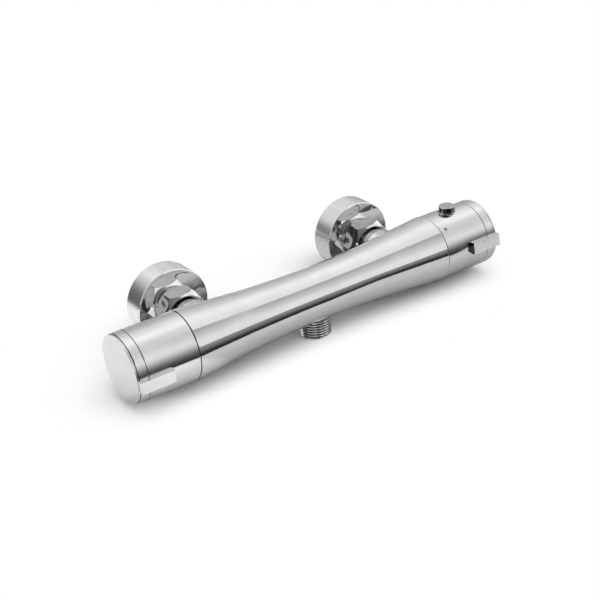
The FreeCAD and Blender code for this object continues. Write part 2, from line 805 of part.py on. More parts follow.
def thermostat_housing():
    """Cartridge shell: nose for mixed water, hot and cold ports, lands with O-rings, and a neck."""
    neck_bore = spindle_stem_radius() + running
    hot_neck = thermostat_bore + hot_neck_wall
    nose = mixed_bore - fit
    land = cold_bore - fit
    head_end = thermostat_head_seat + thermostat_head_thickness
    head = thermostat_mouth - head_gap
    nose_end = hot_bore_start + nose_gap
    land_start = cold_bore_start + land_gap
    profile = [(nose_start, nose_bore), (nose_start, nose), (nose_end, nose), (nose_end, hot_neck),
               (land_start, hot_neck), (land_start, land), (land_end, land), (land_end, cold_neck_radius),
               (cold_land_start, cold_neck_radius), (cold_land_start, land),
               (thermostat_head_seat, land), (thermostat_head_seat, head), (head_end, head),
               (head_end, thermostat_neck_radius), (neck_end, thermostat_neck_radius),
               (neck_end, neck_bore), (thermostat_bore_end, neck_bore),
               (thermostat_bore_end, thermostat_bore), (thermostat_bore_start, thermostat_bore),
               (thermostat_bore_start, nose_bore)]
    housing = turned(RIGHT, profile)
    slots = []
    for angle in (0, 60, 120, 180, 240, 300):
        slots.append(sector(RIGHT, hot_slot_start, hot_slot_end, thermostat_bore - margin,
                            hot_neck + margin, angle, slot_half_angle))
        slots.append(sector(RIGHT, cold_slot_start, cold_slot_end, thermostat_bore - margin,
                            cold_neck_radius + margin, angle, slot_half_angle))
    grooves = [tube(RIGHT, middle - seal_section, middle + seal_section, radius + margin,
                    radius - 2 * seal_section) for middle, radius in seal_places()]
    return housing.cut(slots + grooves)


def seal_places():
    """Middle and land radius of the thermostat's O-rings."""
    nose_middle = (nose_start + hot_bore_start) / 2
    hot_middle = (cold_bore_start + land_gap + land_end) / 2
    cold_middle = (cold_land_start + thermostat_head_seat) / 2
    return ((nose_middle, mixed_bore - fit), (hot_middle, cold_bore - fit), (cold_middle, cold_bore - fit))


def thermostat_seals():
    return [o_ring(middle, radius - seal_section + fit / 2) for middle, radius in seal_places()]


def spindle_stem_radius():
    return stem_radius + temperature_stem_extra


def temperature_spindle():
    """Turns with the handle; its threaded foot drives the carrier along the bar."""
    foot_start = carrier_end - carrier_floor - spindle_foot_reach
    foot = tube(RIGHT, foot_start, thermostat_bore_end + overlap, spindle_foot_radius)
    stem = tube(RIGHT, thermostat_bore_end + face_gap, hub_start - stem_shoulder, spindle_stem_radius())
    square = square_bar(RIGHT, hub_start - margin, spindle_end, square_side)
    spindle = foot.fuse([stem, square])
    return spindle.cut(screw_hole(RIGHT))


def adjusting_carrier():
    """Cup that the spindle's thread pushes along the bar."""
    outer = thermostat_bore - running
    inner = outer - carrier_wall
    floor = carrier_end - carrier_floor
    profile = [(carrier_start, outer), (carrier_end, outer), (carrier_end, spindle_foot_radius + running),
               (floor, spindle_foot_radius + running), (floor, inner), (carrier_start, inner)]
    return turned(RIGHT, profile)


def overload_plate():
    """Plate that the wax element's pin bears on."""
    start = wax_end + wax_pin_length
    inner = thermostat_bore - running - carrier_wall
    return tube(RIGHT, start, start + plate_thickness, inner - running)


def overload_coil():
    low = wax_end + wax_pin_length + plate_thickness + spring_end_gap
    high = carrier_end - carrier_floor - spring_end_gap
    return along_bar(coil("overload spring", overload_spring, overload_turns, high - low), low)


def return_coil():
    low = thermostat_bore_start + spring_end_gap
    high = shuttle_start - spring_end_gap
    return along_bar(coil("return spring", return_spring, return_turns, high - low), low)


def along_bar(shape, start):
    """Lay a shape drawn about Z along the right half of the bar, from u = start."""
    copy = shape.copy()
    copy.rotate(V(0, 0, 0), Y, 90)
    copy.translate(V(start, 0, 0))
    return copy


def wax_element():
    body = tube(RIGHT, wax_start, wax_end, wax_radius)
    pin = tube(RIGHT, wax_end - overlap, wax_end + wax_pin_length, wax_pin_radius)
    body = body.makeFillet(wax_edge, end_edges(body, circle_at(wax_start, wax_radius)))
    return body.fuse(pin)


def shuttle():
    """Sleeve that shares the flow between hot and cold; a web with holes carries the wax element."""
    outer = thermostat_bore - running
    inner = outer - shuttle_wall
    sleeve = tube(RIGHT, shuttle_start, shuttle_end, outer, inner)
    web_bore = wax_radius + fit
    web = tube(RIGHT, shuttle_web_start, shuttle_web_start + shuttle_web, inner + overlap, web_bore)
    body = sleeve.fuse(web)
    hole = Part.makeCylinder(shuttle_hole_radius, shuttle_web + 2 * margin,
                             V(shuttle_web_start - margin, -(web_bore + inner) / 2, 0), X)
    return body.cut([round_bar(hole, 45 * k) for k in range(8)])


# ---------------------------------------------------------------- inlets

def tailpiece(side):
    """Screwed into the body's boss; its collar holds the union nut captive."""
    shoulder_start = boss_reach + tail_gasket
    collar_start = nut_start + nut_lip + face_gap
    collar_end = collar_start + tail_collar
    profile = [(boss_reach - shank_length, cage_radius + fit), (boss_reach - shank_length, shank_radius),
               (shoulder_start, shank_radius), (shoulder_start, tail_shoulder_radius),
               (shoulder_start + tail_shoulder, tail_shoulder_radius),
               (shoulder_start + tail_shoulder, tail_neck_radius), (collar_start, tail_neck_radius),
               (collar_start, tail_collar_radius), (collar_end, tail_collar_radius),
               (collar_end, cage_radius + fit)]
    return inlet_turned(side, profile)


def tail_seal(side):
    return inlet_tube(side, boss_reach, boss_reach + tail_gasket, tail_shoulder_radius - tail_seal_inset,
                      shank_radius + fit)


def union_nut(side, turn):
    """Hexagon nut, chamfered at both ends, with a lip that runs on the tailpiece."""
    prism = hexagon(nut_flats, nut_length)
    prism.rotate(V(0, 0, 0), X, -90)
    prism.translate(V(side * inlet_x, nut_start, 0))
    corner = nut_flats / 2 / math.cos(math.radians(30)) + margin
    flat_face = nut_flats / 2 * nut_face_share
    rise = (corner - flat_face) * math.tan(math.radians(nut_chamfer_angle))
    envelope = inlet_turned(side, [(nut_start, 0), (nut_start, flat_face), (nut_start + rise, corner),
                                   (nut_end - rise, corner), (nut_end, flat_face), (nut_end, 0)])
    nut = prism.common(envelope)
    nut = nut.cut([inlet_tube(side, nut_start - margin, nut_end + margin, tail_neck_radius + running),
                   inlet_tube(side, nut_start + nut_lip, nut_end + margin, union_thread_radius + running)])
    nut.rotate(V(side * inlet_x, 0, 0), Y, -turn)
    return nut


def filter_washer(side):
    """Flat washer with a strainer across its bore."""
    start = union_face - washer_thickness
    ring = inlet_tube(side, start, union_face, tail_collar_radius, union_bore)
    strainer_start = start + (washer_thickness - strainer_thickness) / 2
    strainer = inlet_tube(side, strainer_start, strainer_start + strainer_thickness, union_bore + overlap)
    holes = []
    for ring_number in range(3):
        count = max(1, 6 * ring_number)
        for k in range(count):
            angle = 2 * math.pi * k / count
            reach = strainer_pitch * ring_number
            holes.append(Part.makeCylinder(strainer_hole, washer_thickness,
                                           V(side * inlet_x + reach * math.cos(angle), start,
                                             reach * math.sin(angle)), Y))
    return ring.fuse(strainer.cut(holes))


def eccentric_union(side):
    """3/4 inch thread for the nut, 1/2 inch thread for the wall, one above the other's axis."""
    front_end = union_shoulder_start + overlap
    front = inlet_turned(side, [(union_face, 0), (union_face, union_thread_radius - thread_edge),
                                (union_face + thread_edge, union_thread_radius),
                                (front_end, union_thread_radius), (front_end, 0)])
    shoulder_end = union_shoulder_start + union_shoulder
    rear_start = shoulder_end - overlap
    shoulder = inlet_tube(side, union_shoulder_start, shoulder_end, union_shoulder_radius)
    wall_end = axis_to_wall + wall_thread_reach
    rear = inlet_turned(side, [(rear_start, 0), (rear_start, wall_thread_radius),
                               (wall_end - thread_edge, wall_thread_radius),
                               (wall_end, wall_thread_radius - thread_edge), (wall_end, 0)])
    rear.translate(V(0, 0, -union_drop))
    wall_bore = inlet_tube(side, shoulder_end - wall_bore_reach, wall_end + margin, union_wall_bore)
    wall_bore.translate(V(0, 0, -union_drop))
    front_bore = inlet_tube(side, union_face - margin, shoulder_end - margin, union_bore)
    return front.fuse([shoulder, rear]).cut([front_bore, wall_bore])


def wall_flange(side):
    """Deep round cover over the wall connection, seated on the union's thread."""
    hole = union_thread_radius + running
    inner = flange_radius - flange_wall
    hub_end = union_shoulder_start - flange_hub_gap
    profile = [(flange_face, hole), (flange_face, flange_radius), (axis_to_wall, flange_radius),
               (axis_to_wall, inner), (flange_face + flange_front, inner),
               (flange_face + flange_front, hole + flange_hub_wall), (hub_end, hole + flange_hub_wall),
               (hub_end, hole)]
    flange = inlet_turned(side, profile)

    def rim(edge, middle):
        reach = math.hypot(middle.x - side * inlet_x, middle.z)
        return abs(middle.y - flange_face) < 1e-6 and abs(reach - flange_radius) < 1e-6

    return flange.makeFillet(flange_edge, end_edges(flange, rim))


def flange_seal(side):
    outer = flange_radius - flange_wall - fit
    return inlet_tube(side, axis_to_wall - flange_seal_thickness, axis_to_wall, outer,
                      outer - flange_seal_width)


# ---------------------------------------------------------------- check valves

cage_end = nut_start + nut_lip + face_gap + tail_collar
cage_start = cage_end - cage_length
cage_seat_start = cage_end - cage_seat


def check_cage(side):
    """Cage with a seat at the wall side and a spider that guides the poppet's stem."""
    inner = cage_radius - cage_wall
    spider_end = cage_start + cage_spider
    cage = inlet_tube(side, cage_start, cage_end, cage_radius, inner)
    seat = inlet_tube(side, cage_seat_start, cage_end, inner + overlap, cage_seat_bore)
    boss = poppet_stem + cage_hub_wall
    hub = inlet_tube(side, cage_start, spider_end, boss, poppet_stem + running)
    arm_start = boss - overlap
    arms = []
    for k in range(3):
        arm = Part.makeBox(inner + overlap - arm_start, cage_spider, cage_arm,
                           V(side * inlet_x + arm_start, cage_start, -cage_arm / 2))
        arm.rotate(V(side * inlet_x, 0, 0), Y, 120 * k)
        arms.append(arm)
    return cage.fuse([seat, hub] + arms)


def check_poppet(side):
    head_end = cage_seat_start - face_gap
    head_start = head_end - poppet_thickness
    head = inlet_tube(side, head_start, head_end, poppet_radius)
    stem = inlet_tube(side, cage_start - poppet_tail, head_start + overlap, poppet_stem)
    nose = inlet_tube(side, head_end - overlap, head_end + cage_seat / 2, cage_seat_bore - poppet_nose_gap)
    return head.fuse([stem, nose])


def check_coil(side, name):
    low = cage_start + cage_spider + spring_end_gap
    high = cage_seat_start - face_gap - poppet_thickness - spring_end_gap
    spring = coil(name, check_spring, check_turns, high - low)
    spring.rotate(V(0, 0, 0), X, -90)
    spring.translate(V(side * inlet_x, low, 0))
    return spring


# ---------------------------------------------------------------- the valve

def all_pieces():
    finger = BOTTOM
    flow_teeth = (finger - tooth_clear(), finger + flow_turn + tooth_clear())
    temperature_teeth = (finger - temperature_turn_hot - tooth_clear(),
                         finger + temperature_turn_cold + tooth_clear())
    flow_head_end = flow_head_seat + flow_head_thickness
    thermostat_head_end = thermostat_head_seat + thermostat_head_thickness
    nose_seal, *land_seals = thermostat_seals()
    pieces = {
        "body_casting": body_casting(),
        "outlet_nipple": outlet_nipple(),
        "outlet_seal": outlet_seal(),
        "flow_slide_ring": slide_ring(LEFT),
        "flow_handle_sleeve": handle_sleeve(LEFT, finger, False),
        "flow_end_ring": end_ring(LEFT),
        "flow_end_disc": end_disc(LEFT),
        "flow_lever": lever(LEFT, flow_lever_angle),
        "flow_handle_screw": handle_screw(LEFT),
        "flow_stop_ring": stop_ring(LEFT, flow_teeth),
        "flow_cartridge_housing": flow_housing(),
        "flow_ring_nut": ring_nut(LEFT, flow_head_end, body_half, flow_mouth - fit,
                                  flow_neck_radius + fit),
        "flow_disc_seal": disc_seal(),
        "fixed_ceramic_disc": ceramic_disc(disc_seat, (FRONT, BACK)),
        "moving_ceramic_disc": ceramic_disc(moving_disc_start, (TOP, BOTTOM), (FRONT, BACK)),
        "flow_spindle": flow_spindle(),
        "temperature_slide_ring": slide_ring(RIGHT),
        "temperature_handle_sleeve": handle_sleeve(RIGHT, finger, True),
        "temperature_end_ring": end_ring(RIGHT),
        "temperature_end_disc": end_disc(RIGHT),
        "temperature_lever": lever(RIGHT, temperature_lever_angle),
        "temperature_handle_screw": handle_screw(RIGHT),
        "temperature_stop_ring": stop_ring(RIGHT, temperature_teeth),
        "button_guide": button_guide(),
        "safety_button": safety_button(),
        "button_spring": button_coil(),
        "thermostat_housing": thermostat_housing(),
        "nose_o_ring": nose_seal,
        "land_o_rings": Part.makeCompound(land_seals),
        "thermostat_ring_nut": ring_nut(RIGHT, thermostat_head_end, body_half,
                                        thermostat_mouth - fit, thermostat_neck_radius + fit),
        "temperature_spindle": temperature_spindle(),
        "adjusting_carrier": adjusting_carrier(),
        "overload_spring": overload_coil(),
        "overload_plate": overload_plate(),
        "wax_element": wax_element(),
        "mixing_shuttle": shuttle(),
        "return_spring": return_coil(),
    }
    for side, name, turn in ((LEFT, "hot", hot_nut_turn), (RIGHT, "cold", cold_nut_turn)):
        pieces[name + "_tailpiece"] = tailpiece(side)
        pieces[name + "_tail_seal"] = tail_seal(side)
        pieces[name + "_union_nut"] = union_nut(side, turn)
        pieces[name + "_filter_washer"] = filter_washer(side)
        pieces[name + "_eccentric_union"] = eccentric_union(side)
        pieces[name + "_wall_flange"] = wall_flange(side)
        pieces[name + "_flange_seal"] = flange_seal(side)
        pieces[name + "_check_cage"] = check_cage(side)
        pieces[name + "_check_poppet"] = check_poppet(side)
        pieces[name + "_check_spring"] = check_coil(side, name + " check spring")
    return pieces


os.makedirs("parts", exist_ok=True)
to_wall_frame = V(0, -axis_to_wall, union_drop)
for node, shape in all_pieces().items():
    placed = shape.copy()
    placed.translate(to_wall_frame)
    placed.exportStep("parts/" + node + ".step")
    print(node, "solids", len(placed.Solids), "valid", placed.isValid(), "volume %.1f" % placed.Volume)
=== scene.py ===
import json
import math

import bmesh
import bpy
from mathutils import Matrix, Vector


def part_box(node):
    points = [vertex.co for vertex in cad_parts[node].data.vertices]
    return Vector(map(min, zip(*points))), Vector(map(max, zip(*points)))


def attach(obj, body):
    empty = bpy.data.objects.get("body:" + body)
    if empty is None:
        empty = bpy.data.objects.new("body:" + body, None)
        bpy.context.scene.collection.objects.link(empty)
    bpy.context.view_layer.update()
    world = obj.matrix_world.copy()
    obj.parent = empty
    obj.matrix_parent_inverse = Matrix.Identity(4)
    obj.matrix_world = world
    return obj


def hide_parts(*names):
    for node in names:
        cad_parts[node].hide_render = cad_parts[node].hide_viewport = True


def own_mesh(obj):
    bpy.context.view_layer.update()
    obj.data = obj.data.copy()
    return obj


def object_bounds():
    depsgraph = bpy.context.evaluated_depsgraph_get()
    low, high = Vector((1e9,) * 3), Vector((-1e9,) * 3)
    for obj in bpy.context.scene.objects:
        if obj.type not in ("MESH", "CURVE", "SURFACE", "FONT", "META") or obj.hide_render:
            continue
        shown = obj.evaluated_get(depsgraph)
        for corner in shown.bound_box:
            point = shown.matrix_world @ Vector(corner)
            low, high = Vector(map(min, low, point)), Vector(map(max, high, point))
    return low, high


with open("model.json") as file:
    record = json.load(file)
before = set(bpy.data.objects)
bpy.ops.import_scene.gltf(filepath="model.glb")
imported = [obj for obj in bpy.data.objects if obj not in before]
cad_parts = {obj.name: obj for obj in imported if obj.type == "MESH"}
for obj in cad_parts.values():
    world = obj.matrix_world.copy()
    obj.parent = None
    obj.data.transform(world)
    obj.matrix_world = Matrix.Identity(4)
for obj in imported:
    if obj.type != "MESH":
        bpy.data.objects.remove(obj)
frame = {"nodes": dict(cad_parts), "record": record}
cad_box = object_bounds()

# Looks of an exposed thermostatic bar valve. Everything is in metres, in the frame of the solids:
# +X runs along the bar from the hot end to the cold end, +Y goes into the wall and +Z is up.
# Visible pieces are turned or extruded anew, so that their curved skins are smooth enough for chrome.
# Angles round the bar count up from its front.

MM = 0.001
X = Vector((1, 0, 0))
Y = Vector((0, 1, 0))
Z = Vector((0, 0, 1))
LEFT = -1
RIGHT = 1
FULL_TURN = 2 * math.pi

BAR_STEPS = 192                 # facets round the bar, the handles and the flanges
TURN_STEPS = 144                # facets round the fittings
SMALL_TURN_STEPS = 72
MERGE = 1e-7                    # points nearer to each other than this are one
TOUCH = 0.05 * MM               # how far a piece stays off the one it touches, or sinks into it
EASE = 0.3                      # share of a soft edge's width at which its middle ring stands
SHADING_WEIGHT = 60


# ---- sizes read from the frame

def middle(node):
    low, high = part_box(node)
    return (low + high) / 2


def half_size(node):
    low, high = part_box(node)
    return (high - low) / 2


BAR_AXIS = Vector((0, middle("flow_end_ring").y, middle("flow_end_ring").z))
BAR_END = half_size("flow_end_disc").x + abs(middle("flow_end_disc").x)
HANDLE_RADIUS = half_size("flow_end_ring").z
DISC_RADIUS = half_size("flow_end_disc").z
INLET_X = middle("cold_wall_flange").x
FLANGE_RADIUS = half_size("cold_wall_flange").z
FLANGE_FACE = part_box("cold_wall_flange")[0].y
WALL_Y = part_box("cold_wall_flange")[1].y
SLEEVE_START, SLEEVE_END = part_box("temperature_handle_sleeve")[0].x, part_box("temperature_handle_sleeve")[1].x
RING_INNER_END, RING_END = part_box("temperature_end_ring")[0].x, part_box("temperature_end_ring")[1].x
LEVER_START, LEVER_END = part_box("temperature_lever")[0].x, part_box("temperature_lever")[1].x
NUT_START, NUT_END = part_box("cold_union_nut")[0].y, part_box("cold_union_nut")[1].y
OUTLET_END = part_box("outlet_nipple")[0].z
SPIGOT_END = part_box("body_casting")[1].x
BOSS_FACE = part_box("body_casting")[1].y
UNION_START, UNION_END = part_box("cold_eccentric_union")[0].y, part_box("cold_eccentric_union")[1].y

# ---- sizes the frame's boxes don't give

WAIST_RADIUS = 17.75 * MM
WAIST_ARC = 760 * MM
WAIST_HALF = 60 * MM
WAIST_STEPS = 56
FLANK_RINGS = (72 * MM, 84 * MM)
BODY_HALF = 97 * MM
BODY_EDGE = 0.4 * MM
SPIGOT_RADIUS = 18.6 * MM
INLET_BOSS_RADIUS = 13.5 * MM
BOSS_FILLET = 0.7 * MM
BOSS_FILLET_STEPS = 4
BOSS_EDGE = 0.5 * MM
BOSS_BURIED = 0.5 * MM          # how far under the bar's skin the boss closes
FOOT_SINK = 0.02 * MM
OUTLET_BORE = 7.3 * MM
OUTLET_SEAT = 9 * MM
OUTLET_SEAT_END = 14.3 * MM     # from the bar's axis, as the next two
OUTLET_START = 15.2 * MM        # inside the bar, so that the thread runs up to its skin
WATERWAY_END = 9 * MM
OUTLET_EDGE = 0.6 * MM
OUTLET_PLAIN = 0.3 * MM         # plain length at the thread's open end
DRILL_REACH = 40 * MM
DRILL_DEEPER = 0.3 * MM         # how much larger a seat is drilled than what sits in it
DRILL_WIDER = 0.02 * MM

SLEEVE_BORE = 20.4 * MM
RING_BORE = 17.4 * MM
RING_START = 132.3 * MM
DISC_PLUG = 17.3 * MM
DISC_RIM = 1.2 * MM
DISC_THICKNESS = 1.4 * MM
WEB_START = 123.4 * MM
WEB_END = 126.4 * MM
HUB_RADIUS = 8 * MM
HUB_START = 111 * MM
HUB_BORE = 2.6 * MM
HANDLE_EDGE = 0.3 * MM

LEVER_HEIGHT = 8.3 * MM
LEVER_FACE = 26.15 * MM         # from the bar's axis to the lever's flat face
LEVER_EDGE = 0.8 * MM
LEVER_EDGE_STEPS = 4
LEVER_SPARE = 1 * MM            # what the cut for the flat face takes off
LEVER_SPREAD = math.radians(15) # half of the arc that the tab is cut from
LEVER_STEPS = 24
FACING = 0.9                    # least share of a normal for a face to count as facing that way
LEVER_ANGLE = {LEFT: -4.5, RIGHT: 4.5}

MARK_X = 102 * MM
DOT_ANGLE = 51.6
DOT_RADIUS = 1.25 * MM
DOT_ROOT = HANDLE_RADIUS - 0.3 * MM
DOT_TOP = HANDLE_RADIUS + 0.04 * MM
DOT_EDGE = 0.03 * MM
DOT_STEPS = 32
DASH_ANGLE = -18.4
DASH_SIZE = (1.9 * MM, 0.34 * MM, 0.6 * MM)
DASH_EDGE = 0.08 * MM
DASH_MIDDLE = HANDLE_RADIUS - 0.12 * MM

BUTTON_X = 115.3 * MM
BUTTON_ANGLE = 90.0
BUTTON_TOP = 26.75 * MM
BUTTON_RADIUS = 5.5 * MM
BUTTON_SKIRT = 7.09 * MM
BUTTON_ROOF = 2.8 * MM
BUTTON_WALL = 0.9 * MM
BUTTON_EDGE = 0.65 * MM
BUTTON_EDGE_STEPS = 4
SIDE_LEAN = 0.2                 # most that a side's normal leans along the button's axis
FITTING_EDGE = 0.15 * MM
GUIDE_TOP = 23.1 * MM
GUIDE_RADIUS = 6.18 * MM
GUIDE_BORE = 5.58 * MM
GUIDE_LOW = 15.36 * MM
GUIDE_FLOOR = 16.96 * MM
GUIDE_FLANGE = 7.4 * MM
GUIDE_FLANGE_LOW = 17.16 * MM
GUIDE_FLANGE_TOP = 18.96 * MM
GUIDE_STEM_BORE = 1.98 * MM

NUT_FLATS = 29 * MM
NUT_BORE = 13.3 * MM
NUT_LIP_BORE = 9.98 * MM
NUT_LIP = 1.3 * MM
NUT_CHAMFER_ANGLE = math.radians(52)
NUT_FACE_SHARE = 0.94
NUT_EDGE = 0.25 * MM
NUT_STEPS = 120
NUT_CHAMFER_LEAN = (0.3, 0.95)  # share of the nut's axis in the normals of its chamfers
NUT_TURN = {LEFT: 3.0, RIGHT: 5.0}

PIPE_PITCH = 1.814 * MM
SMALL_THREAD_RADIUS = 10.48 * MM
LARGE_THREAD_RADIUS = 13.22 * MM
THREAD_DEPTH = 1.16 * MM
THREAD_RINGS = 9                # rings of the skin in one pitch
THREAD_RUN_OUT = PIPE_PITCH * 0.6
THREAD_SLOPE = 1.25             # of the groove's sides
THREAD_CREST = 0.12             # what the flat crest takes of them
SKIN_TOLERANCE = 0.02 * MM

TAIL_NECK = 9.9 * MM
TAIL_SHOULDER = 12.2 * MM
TAIL_SHOULDER_LENGTH = 4.2 * MM
TAIL_COLLAR = 12.4 * MM
TAIL_SHANK = 10 * MM
TAIL_BORE = 8.15 * MM
TAIL_GASKET = 0.8 * MM
UNION_DROP = 6 * MM
UNION_BORE = 9 * MM
WALL_BORE = 7.8 * MM
UNION_EDGE = 0.8 * MM
UNION_PLAIN = 0.5 * MM          # plain length at each open end
SHOULDER_RADIUS = 17 * MM
SHOULDER_START = -12.5 * MM
SHOULDER_END = -8.5 * MM
SHOULDER_OVERLAP = 1.2 * MM     # how far each thread's tube reaches into the shoulder
SHOULDER_PLAIN = 1.5 * MM
FLANGE_WALL = 1.2 * MM
FLANGE_EDGE = 0.8 * MM
FLANGE_EDGE_STEPS = 6
FLANGE_SEAM = 0.12 * MM
FLANGE_PLATE = 1.5 * MM
FLANGE_HOLE = LARGE_THREAD_RADIUS + 0.08 * MM
FLANGE_HUB = 1.8 * MM
FLANGE_HUB_GAP = 0.3 * MM       # between the hub and the union's shoulder


# ---- mesh helpers

def direction_round_bar(angle):
    """Unit vector out of the bar's axis at an angle above the front."""
    return Vector((0, -math.cos(math.radians(angle)), math.sin(math.radians(angle))))


def crosswise(axis):
    """A unit vector at right angles to an axis, from which its outlines are drawn."""
    return X.copy() if abs(axis.dot(X)) < 0.5 else -Y


def from_axis(point, centre, axis):
    """The shortest way from an axis through a centre out to a point."""
    offset = point - centre
    return offset - axis * offset.dot(axis)


def turn_outline(bm, corners, centre, axis, steps=TURN_STEPS):
    """Spin a closed outline of (place along the axis, radius) corners."""
    out = crosswise(axis)
    verts = [bm.verts.new(centre + axis * along + out * radius) for along, radius in corners]
    edges = [bm.edges.new((verts[k - 1], verts[k])) for k in range(len(verts))]
    bmesh.ops.spin(bm, geom=verts + edges, cent=centre, axis=axis, angle=FULL_TURN, steps=steps,
                   use_merge=True, use_duplicate=False)


def soften(bm, width, segments=2, sharp=40.0):
    """Round every edge that is sharper than the given angle."""
    bmesh.ops.remove_doubles(bm, verts=bm.verts, dist=MERGE)
    edges = [edge for edge in bm.edges
             if len(edge.link_faces) == 2 and edge.calc_face_angle() > math.radians(sharp)]
    bmesh.ops.bevel(bm, geom=edges, offset=width, offset_type="OFFSET", segments=segments,
                    profile=0.5, affect="EDGES", clamp_overlap=True, material=-1)


def close_up(bm):
    """Join the points that meet and turn every face outwards."""
    bmesh.ops.remove_doubles(bm, verts=bm.verts, dist=MERGE)
    bmesh.ops.recalc_face_normals(bm, faces=bm.faces)


def mesh_object(name, bm, materials=()):
    """Close mesh work and put it into the scene as an object."""
    mesh = bpy.data.meshes.new(name)
    bm.to_mesh(mesh)
    bm.free()
    for material in materials:
        mesh.materials.append(material)
    obj = bpy.data.objects.new(name, mesh)
    bpy.context.scene.collection.objects.link(obj)
    return obj


def piece(name, bm, body, materials, replaces=(), smooth=30.0):
    """Clean the mesh work on a piece, make its object and hand it to the frame."""
    bmesh.ops.remove_doubles(bm, verts=bm.verts, dist=MERGE)
    bmesh.ops.dissolve_degenerate(bm, edges=bm.edges, dist=MERGE)
    bmesh.ops.recalc_face_normals(bm, faces=bm.faces)
    obj = mesh_object(name, bm, materials)
    obj.data.shade_smooth()
    obj.data.set_sharp_from_angle(angle=math.radians(smooth))
    weighted = obj.modifiers.new("even_shading", "WEIGHTED_NORMAL")
    weighted.keep_sharp = True
    weighted.weight = SHADING_WEIGHT
    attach(obj, body)
    if replaces:
        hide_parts(*replaces)
    return obj


def turned_piece(name, body_name, node, material, outline, centre, axis, edge, steps=TURN_STEPS):
    """Piece of one outline turned about an axis, with its edges rounded."""
    bm = bmesh.new()
    turn_outline(bm, outline, centre, axis, steps)
    soften(bm, edge)
    piece(name, bm, body_name, [material], [node])


def ring_of_verts(bm, centre, axis, radius, steps):
    """A circle of loose edges about an axis."""
    turn = Z.rotation_difference(axis).to_matrix().to_4x4()
    made = bmesh.ops.create_circle(bm, cap_ends=False, segments=steps, radius=radius,
                                   matrix=Matrix.Translation(centre) @ turn)
    return made["verts"]


def ring_edges(verts):
    """The edges between the verts of a ring."""
    inside = set(verts)
    return [edge for edge in {e for v in verts for e in v.link_edges}
            if edge.verts[0] in inside and edge.verts[1] in inside]


def next_ring(bm, verts):
    """Extrude a ring of edges and return the new ring's verts in the same order."""
    made = bmesh.ops.extrude_edge_only(bm, edges=ring_edges(verts))["geom"]
    fresh = {v for v in made if isinstance(v, bmesh.types.BMVert)}
    return [next(e.other_vert(vert) for e in vert.link_edges if e.other_vert(vert) in fresh) for vert in verts]


# ---- shader groups

RUBBING = (40.0, 900.0, 900.0)  # cells in a metre along X, Y and Z
CROSS_RUBBING = (1100.0, 300.0, 90.0)
BUFFING = 90.0
TURNING = (2600.0, 2600.0, 60.0)
CLOUDING = 150.0


def new_group(name, scale_name, scale, outputs):
    """An empty shader group that takes a scale. Returns its tree, the scale and the sockets it puts out."""
    tree = bpy.data.node_groups.new(name, "ShaderNodeTree")
    socket = tree.interface.new_socket(name=scale_name, in_out="INPUT", socket_type="NodeSocketFloat")
    socket.default_value = scale
    for label in outputs:
        tree.interface.new_socket(name=label, in_out="OUTPUT", socket_type="NodeSocketFloat")
    start = tree.nodes.new("NodeGroupInput")
    return tree, start.outputs[scale_name], tree.nodes.new("NodeGroupOutput").inputs


def feed(tree, socket, value):
    """Set a socket to a number or a colour, or link it to another socket."""
    if isinstance(value, (int, float)):
        socket.default_value = value
    elif isinstance(value, tuple):
        socket.default_value = (*value, 1)
    else:
        tree.links.new(value, socket)


def object_place(tree):
    """The place of a point in the frame, on which the patterns lie."""
    return tree.nodes.new("ShaderNodeTexCoord").outputs["Object"]


def noise(tree, coordinate, scale, detail, roughness=0.5):
    node = tree.nodes.new("ShaderNodeTexNoise")
    node.inputs["Detail"].default_value = detail
    node.inputs["Roughness"].default_value = roughness
    tree.links.new(coordinate, node.inputs["Vector"])
    feed(tree, node.inputs["Scale"], scale)
    return node.outputs["Fac"]


def remap(tree, value, low, high, to_low, to_high):
    node = tree.nodes.new("ShaderNodeMapRange")
    tree.links.new(value, node.inputs["Value"])
    for socket, setting in (("From Min", low), ("From Max", high), ("To Min", to_low), ("To Max", to_high)):
        feed(tree, node.inputs[socket], setting)
    return node.outputs["Result"]


def arithmetic(tree, operation, *values):
    node = tree.nodes.new("ShaderNodeMath")
    node.operation = operation
    for socket, value in zip(node.inputs, values):
        feed(tree, socket, value)
    return node.outputs["Value"]


def mixed(tree, mask, first, second):
    """Mix of two colours, which are given or come from sockets."""
    node = tree.nodes.new("ShaderNodeMix")
    node.data_type = "RGBA"
    feed(tree, node.inputs[6], first)
    feed(tree, node.inputs[7], second)
    tree.links.new(mask, node.inputs["Factor"])
    return node.outputs[2]


def stretched(tree, coordinate, scale):
    node = tree.nodes.new("ShaderNodeMapping")
    node.inputs["Scale"].default_value = scale
    tree.links.new(coordinate, node.inputs["Vector"])
    return node.outputs["Vector"]


def handling_group():
    """Faint smears, fine rubbing scratches and the slight waviness of a buffed skin."""
    tree, scale, ends = new_group("handling", "Smear Scale", 60.0, ("Smear", "Scratch", "Waviness"))
    place = object_place(tree)
    smear = remap(tree, noise(tree, place, scale, 4.0, 0.6), 0.35, 0.7, 0.0, 1.0)
    rubbed = noise(tree, stretched(tree, place, RUBBING), 1.0, 2.0)
    crossed = noise(tree, stretched(tree, place, CROSS_RUBBING), 1.0, 2.0)
    scratch = arithmetic(tree, "MAXIMUM", remap(tree, rubbed, 0.66, 0.78, 0.0, 1.0),
                         remap(tree, crossed, 0.68, 0.8, 0.0, 1.0))
    tree.links.new(smear, ends["Smear"])
    tree.links.new(scratch, ends["Scratch"])
    tree.links.new(noise(tree, place, BUFFING, 1.0), ends["Waviness"])
    return tree


